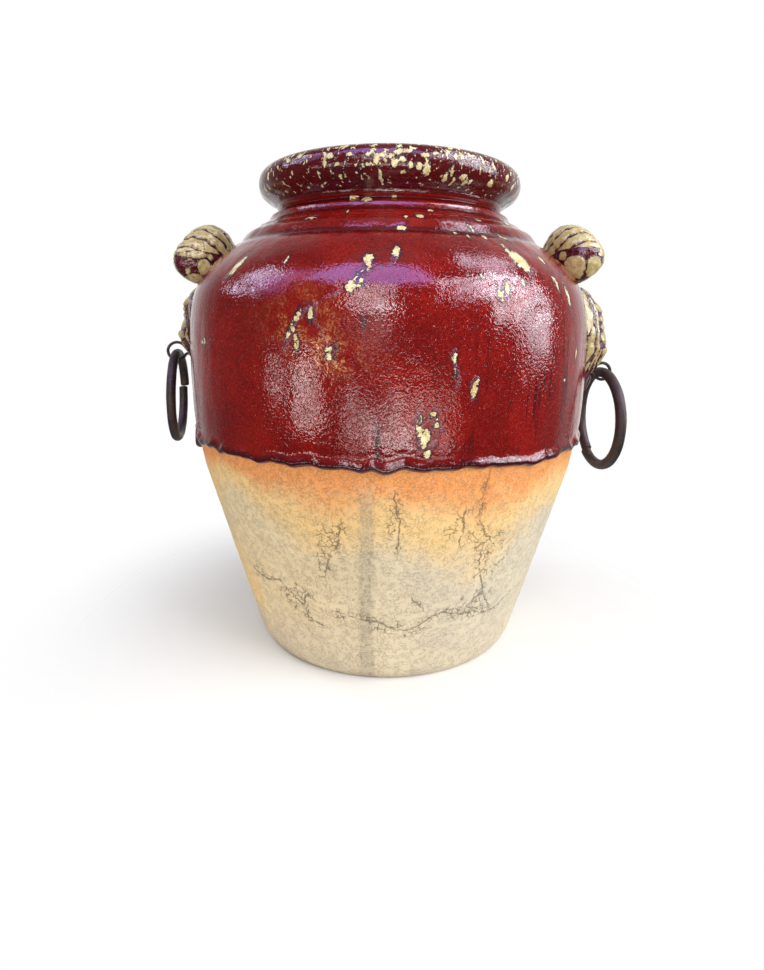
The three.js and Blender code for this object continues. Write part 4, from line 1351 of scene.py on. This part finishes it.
# Painted shade: the clay darkens towards the foot.
pale = mix(tree, ramp(tree, height_z, 0.07, 0.0, 0.0, 0.7), pale, (0.49, 0.43, 0.33, 1))
pale = mix(tree, ramp(tree, broad_noise, 0.35, 0.7, 0.0, 0.4), pale, (0.84, 0.73, 0.49, 1))
buff = mix(tree, ramp(tree, burn, -0.05, 0.5), pale, (0.84, 0.57, 0.235, 1))
buff = mix(tree, ramp(tree, burn, 0.5, 0.9), buff, (0.82, 0.30, 0.07, 1))
strip = maths(tree, "MULTIPLY", field(tree, "strip"), 0.62)
buff = mix(tree, strip, buff, (0.38, 0.32, 0.225, 1))
fibre = noise(tree, places(tree, (1, 1, 0.12)), 420.0, 3.0, 0.6)
fibre = maths(tree, "MULTIPLY", ramp(tree, fibre, 0.52, 0.66), field(tree, "strip"))
buff = tint(tree, buff, fibre, 0.6, (0.22, 0.17, 0.12))
dusty = use_group(tree, grain, "Specks", Vector=where, Scale=1500.0, Share=0.46)
buff = tint(tree, buff, dusty, 0.55, (0.30, 0.22, 0.14))
buff = mix(tree, ramp(tree, sand, 0.52, 0.66, 0.0, 0.4), buff, (0.98, 0.90, 0.70, 1))
stain = noise(tree, where, 75.0, 6.0, 0.7, 1.0)
buff = mix(tree, ramp(tree, stain, 0.54, 0.72, 0.0, 0.3), buff, (0.32, 0.25, 0.16, 1))

crooked = noise(tree, where, 260.0, 4.0, 0.65)
crooked = maths(tree, "MULTIPLY", maths(tree, "SUBTRACT", crooked, 0.5), 7.0)
side = maths(tree, "ABSOLUTE", maths(tree, "ADD", field(tree, "crack_side"), crooked))
thin = noise(tree, where, 120.0, 3.0, 0.6)
line = maths(tree, "LESS_THAN", field(tree, "crack_near"), 5.0)
line_width = ramp(tree, thin, 0.35, 0.62, 0.2, 1.5)
line = maths(tree, "MULTIPLY", line, ramp(tree, side, line_width, 0.05))
craze_share = maths(tree, "MULTIPLY", maths(tree, "SUBTRACT", thin, 0.5), 1.6)
craze_share = ramp(tree, maths(tree, "ADD", field(tree, "craze"), craze_share), 0.2, 0.8)
net = use_group(tree, crackle, "Lines", Vector=where, Scale=190.0, Thin=0.075, Broken=0.44)
fine_net = use_group(tree, crackle, "Lines", Vector=where, Scale=380.0, Thin=0.10, Broken=0.42)
dark = maths(tree, "MAXIMUM", line, maths(tree, "MULTIPLY", net, craze_share))
dark = maths(tree, "MAXIMUM", dark, maths(tree, "MULTIPLY", fine_net, 0.45))
outside = maths(tree, "SUBTRACT", 1.0, field(tree, "inside"))
dark = maths(tree, "MULTIPLY", dark, outside)
buff = tint(tree, buff, dark, 0.82, (0.11, 0.085, 0.06))
# Painted shade: the inside of the pot is darkened.
buff = tint(tree, buff, field(tree, "inside"), 0.6, (0.42, 0.33, 0.21))
feed(tree, shader.inputs["Base Color"], buff)
rise = maths(tree, "MULTIPLY_ADD", dark, -1.4, maths(tree, "MULTIPLY_ADD", sand, 0.5, stain))
roughen(tree, shader, rise, 0.8, 0.00025)
give(bare, clay)

# %% [markdown]
# ## Cream relief glaze
# On the scrolls and leaves a cream glaze sits on the ribs, and the dark red pooled grey-purple in
# the grooves. Small brown pits and torn edges show that it crawled. It shares the orange peel.

# %% Relief material
cream_relief, tree, shader = new_material("cream_relief", IOR=1.6)
where = places(tree)
ridge = field(tree, "ridge")
blotch = noise(tree, where, 120.0, 4.0, 0.6, 0.6)
worn = maths(tree, "MULTIPLY", maths(tree, "SUBTRACT", 0.70, blotch), 24.0)
cover = maths(tree, "MINIMUM", ridge, worn)
mask, edge_depth = torn_edge(tree, cover, where, 420.0, 3.4, 0.22)
warm = noise(tree, where, 160.0, 4.0, 0.65)
cream = mix(tree, ramp(tree, warm, 0.35, 0.66), (0.44, 0.34, 0.13, 1), (0.66, 0.58, 0.31, 1))
pits = use_group(tree, grain, "Specks", Vector=where, Scale=420.0, Share=0.38)
pits = maths(tree, "MULTIPLY", pits, ramp(tree, field(tree, "pitted"), 0.0, 1.0, 0.35, 1.0))
cream = tint(tree, cream, pits, 0.9, (0.07, 0.03, 0.03))
stained = ramp(tree, edge_depth, 1.3, 0.1)
cream = tint(tree, cream, stained, 0.5, (0.26, 0.13, 0.06))
# Painted shade: the cream on the leaves is darkened.
cream = tint(tree, cream, field(tree, "painted_leaf_shade"), 0.3, (0.20, 0.12, 0.06))
maroon = mix(tree, ramp(tree, warm, 0.4, 0.6), (0.07, 0.004, 0.007, 1), (0.10, 0.014, 0.018, 1))
dusk = maths(tree, "MULTIPLY", field(tree, "grey"), ramp(tree, warm, 0.42, 0.6), clamp=True)
maroon = tint(tree, maroon, dusk, 0.8, (0.13, 0.075, 0.10))
maroon = mix(tree, ramp(tree, edge_depth, -1.2, -0.1), maroon, (0.022, 0.006, 0.009, 1))
feed(tree, shader.inputs["Base Color"], mix(tree, mask, maroon, cream))
feed(tree, shader.inputs["Roughness"], maths(tree, "MULTIPLY_ADD", warm, 0.06, 0.02))
peel_height = use_group(tree, peel, "Height", Vector=where, Scale=420.0, Fine=0.12)
rise = maths(tree, "MULTIPLY_ADD", mask, 1.2, peel_height)
rise = maths(tree, "MULTIPLY_ADD", pits, -1.2, rise)
roughen(tree, shader, rise, 1.0, 0.00035)
give(cream_relief, *scrolls, *leaves)

# %% [markdown]
# ## Old iron
# Forged bar that stood outdoors: nearly black, brown where a skin of rust took hold, pitted and
# only dimly shiny. The same grain group makes the pits.

# %% Iron material
iron, tree, shader = new_material("old_iron", Metallic=0.55)
where = places(tree)
rust_cloud = noise(tree, where, 60.0, 5.0, 0.65, 0.4)
skin = mix(tree, ramp(tree, rust_cloud, 0.35, 0.62), (0.030, 0.027, 0.027, 1), (0.062, 0.043, 0.035, 1))
specks = use_group(tree, grain, "Specks", Vector=where, Scale=520.0, Share=0.42)
skin = tint(tree, skin, specks, 0.4, (0.11, 0.075, 0.058))
feed(tree, shader.inputs["Base Color"], skin)
feed(tree, shader.inputs["Roughness"], ramp(tree, rust_cloud, 0.35, 0.7, 0.42, 0.62))
pitted = maths(tree, "MULTIPLY_ADD", specks, -0.5, noise(tree, where, 260.0, 4.0, 0.6))
roughen(tree, shader, pitted, 0.7, 0.0004)
give(iron, *irons)

# %% [markdown]
# ## Floor and light
# The urn stands on a pale floor that fades out, so the paper-white background begins without a
# line and the soft shadow stays. Big soft lamps light the clay and the glaze but are not seen in
# them. What the glaze mirrors is the world: a dim room, paler behind, with bright openings that
# leaves break up. The camera itself sees plain white.


# %% Lamps
def lamp(name, azimuth, elevation, distance, width, tall, radiance, colour=(1, 1, 1)):
    """A rectangular lamp facing the urn, placed by azimuth from the front and elevation."""
    data = bpy.data.lights.new(name, "AREA")
    data.shape, data.size, data.size_y, data.color = "RECTANGLE", width, tall, colour
    data.energy = radiance * 4 * width * tall
    light = bpy.data.objects.new(name, data)
    bpy.context.scene.collection.objects.link(light)
    a, e = math.radians(azimuth), math.radians(elevation)
    way = np.array([math.sin(a) * math.cos(e), -math.cos(a) * math.cos(e), math.sin(e)])
    light.location = way * distance + [0, 0, 0.25]
    light.rotation_euler = (math.radians(90) - e, 0, a)
    light.visible_camera = light.visible_glossy = False


lamp("window_right", 66, 26, 2.0, 1.7, 1.6, 4.2)
lamp("window_left", -108, 42, 2.0, 0.5, 0.9, 4.5, (0.86, 0.91, 1.0))
lamp("room_front", -6, 12, 2.2, 1.1, 0.95, 2.6, (1.0, 0.93, 0.88))
lamp("room_above", 0, 66, 2.2, 2.6, 1.9, 0.8, (0.97, 0.95, 1.0))
lamp("ground_left", -46, -9, 1.6, 0.8, 0.4, 3.0, (1.0, 0.95, 0.88))
lamp("ground_front", -3, -19, 1.2, 0.65, 0.3, 2.1, (1.0, 0.95, 0.88))
print(len(bpy.data.lights), "lamps")

# %% World and floor
world = bpy.data.worlds.new("room")
bpy.context.scene.world = world
world.use_nodes = True
tree = world.node_tree
background = tree.nodes["Background"]
way = tree.nodes.new("ShaderNodeTexCoord").outputs["Generated"]
split = add(tree, "ShaderNodeSeparateXYZ", 0, Vector=way).node.outputs
azimuth = maths(tree, "ARCTAN2", split["X"], maths(tree, "MULTIPLY", split["Y"], -1.0))
azimuth = maths(tree, "MULTIPLY", azimuth, math.degrees(1))
elevation = maths(tree, "MULTIPLY", maths(tree, "ARCSINE", split["Z"]), math.degrees(1))
leafy = noise(tree, way, 12.0, 5.0, 0.65)
leafy = ramp(tree, leafy, 0.46, 0.56, 0.2, 1.8)
room = mix(tree, ramp(tree, split["Y"], 0.2, 1.0), (0.10, 0.10, 0.105, 1), (1, 1, 1, 1))
room = mix(tree, ramp(tree, elevation, -4.0, -30.0, 0.0, 0.6), room, (0.05, 0.05, 0.05, 1))
room = mix(tree, ramp(tree, elevation, 70.0, 86.0), room, (0.38, 0.36, 0.37, 1))


def opening(room, left, right, low, high, radiance, colour, leaves=1.0, soft=0.8):
    """Adds a bright opening to the reflected room: a soft-edged box in azimuth and elevation."""
    wide = maths(tree, "MULTIPLY", ramp(tree, azimuth, left - soft, left + soft),
                 ramp(tree, azimuth, right + soft, right - soft))
    tall = maths(tree, "MULTIPLY", ramp(tree, elevation, low - soft, low + soft),
                 ramp(tree, elevation, high + soft, high - soft))
    shine = maths(tree, "MULTIPLY", maths(tree, "MULTIPLY", wide, tall), radiance)
    broken = maths(tree, "MULTIPLY_ADD", maths(tree, "SUBTRACT", leafy, 1.0), leaves, 1.0)
    broken = maths(tree, "MAXIMUM", broken, 0.0)
    light = add(
        tree, "ShaderNodeVectorMath", settings={"operation": "SCALE"},
        Vector=colour, Scale=maths(tree, "MULTIPLY", shine, broken),
    )
    node = tree.nodes.new("ShaderNodeVectorMath")
    feed(tree, node.inputs[0], room)
    feed(tree, node.inputs[1], light)
    return node.outputs[0]


# Left, right, low and high edge in degrees, radiance, colour, share of leaves, softness in degrees
OPENINGS = [
    (37, 103, 21, 51, 5.8, (0.90, 0.84, 1.0), 1.3),
    (62, 103, 6, 49, 6.8, (0.9, 0.92, 1.0), 1.2),
    (80, 100, -4, 8, 5.0, (0.9, 0.9, 1.0)),
    (84, 128, 46, 66, 4.5, (0.9, 0.86, 1.05)),
    (-102, -78, 20, 48, 5.0, (0.8, 0.78, 1.1), 1.3),
    (-56, 36, 45, 75, 2.6, (1.0, 0.80, 2.2), 0.2, 2.0),
    (-84, -62, 26, 56, 1.6, (0.95, 0.6, 1.5), 0.4, 4.0),
    (-20, 8, 14, 44, 6.2, (1.0, 0.88, 0.95), 1.2),
    (-20, 7, -2, 11, 0.9, (1.0, 0.9, 0.9), 1.8),
    (-47, -31, -17, -3, 5.2, (1.0, 0.84, 0.82), 1.2),
    (-62, -55, -11, -4, 3.0, (1.0, 0.9, 0.9), 1.2),
    (-20, 38, -27, -11, 2.6, (1.0, 0.88, 0.86), 1.8),
    (-4, 20, -27, -16, 3.6, (1.0, 0.88, 0.86), 0.8),
]
for edges_and_light in OPENINGS:
    room = opening(room, *edges_and_light)

path = tree.nodes.new("ShaderNodeLightPath").outputs
reflected = maths(tree, "ADD", path["Is Glossy Ray"], path["Is Transmission Ray"], clamp=True)
lit = mix(tree, reflected, (0.42, 0.42, 0.43, 1), room)
feed(tree, background.inputs["Color"], mix(tree, path["Is Camera Ray"], lit, (1, 1, 1, 1)))

GROUND_ROWS, GROUND_COLUMNS = 30, 96
GROUND_HOLE, GROUND_RADIUS, GROUND_DROP = 0.01, 0.42, 0.0004
angle = once_round(GROUND_COLUMNS)
rings = np.linspace(GROUND_HOLE, GROUND_RADIUS, GROUND_ROWS)[:, None]
floor_places = np.stack([
    rings * np.sin(angle), rings * np.cos(angle), -GROUND_DROP + 0 * rings * angle,
], -1)
grid = np.arange(GROUND_ROWS * GROUND_COLUMNS).reshape(GROUND_ROWS, GROUND_COLUMNS)
floor_quads = np.stack([
    grid[:-1], np.roll(grid[:-1], -1, 1), np.roll(grid[1:], -1, 1), grid[1:],
], -1).reshape(-1, 4)[:, ::-1]
floor_faces = floor_quads.tolist() + [grid[0].tolist()]
floor_mesh = bpy.data.meshes.new("floor")
floor_mesh.from_pydata(floor_places.reshape(-1, 3).tolist(), [], floor_faces)
floor = bpy.data.objects.new("floor", floor_mesh)
bpy.context.scene.collection.objects.link(floor)

paper, tree, shader = new_material("paper", Roughness=1.0)
shader.inputs["Base Color"].default_value = (0.86, 0.86, 0.86, 1)
shader.inputs["Specular IOR Level"].default_value = 0.0
flat = add(tree, "ShaderNodeVectorMath", 1, {"operation": "LENGTH"}, Vector=places(tree, (1, 1, 0)))
clear = tree.nodes.new("ShaderNodeBsdfTransparent").outputs[0]
cover = tree.nodes.new("ShaderNodeMixShader")
feed(tree, cover.inputs[0], ramp(tree, flat, 0.13, 0.36))
feed(tree, cover.inputs[1], shader.outputs[0])
feed(tree, cover.inputs[2], clear)
feed(tree, tree.nodes["Material Output"].inputs["Surface"], cover.outputs[0])
give(paper, floor)

# %% [markdown]
# ## Last steps
# Colours leave through the Standard view, so they render about as written.

# %% Finish
bpy.context.scene.view_settings.view_transform = "Standard"
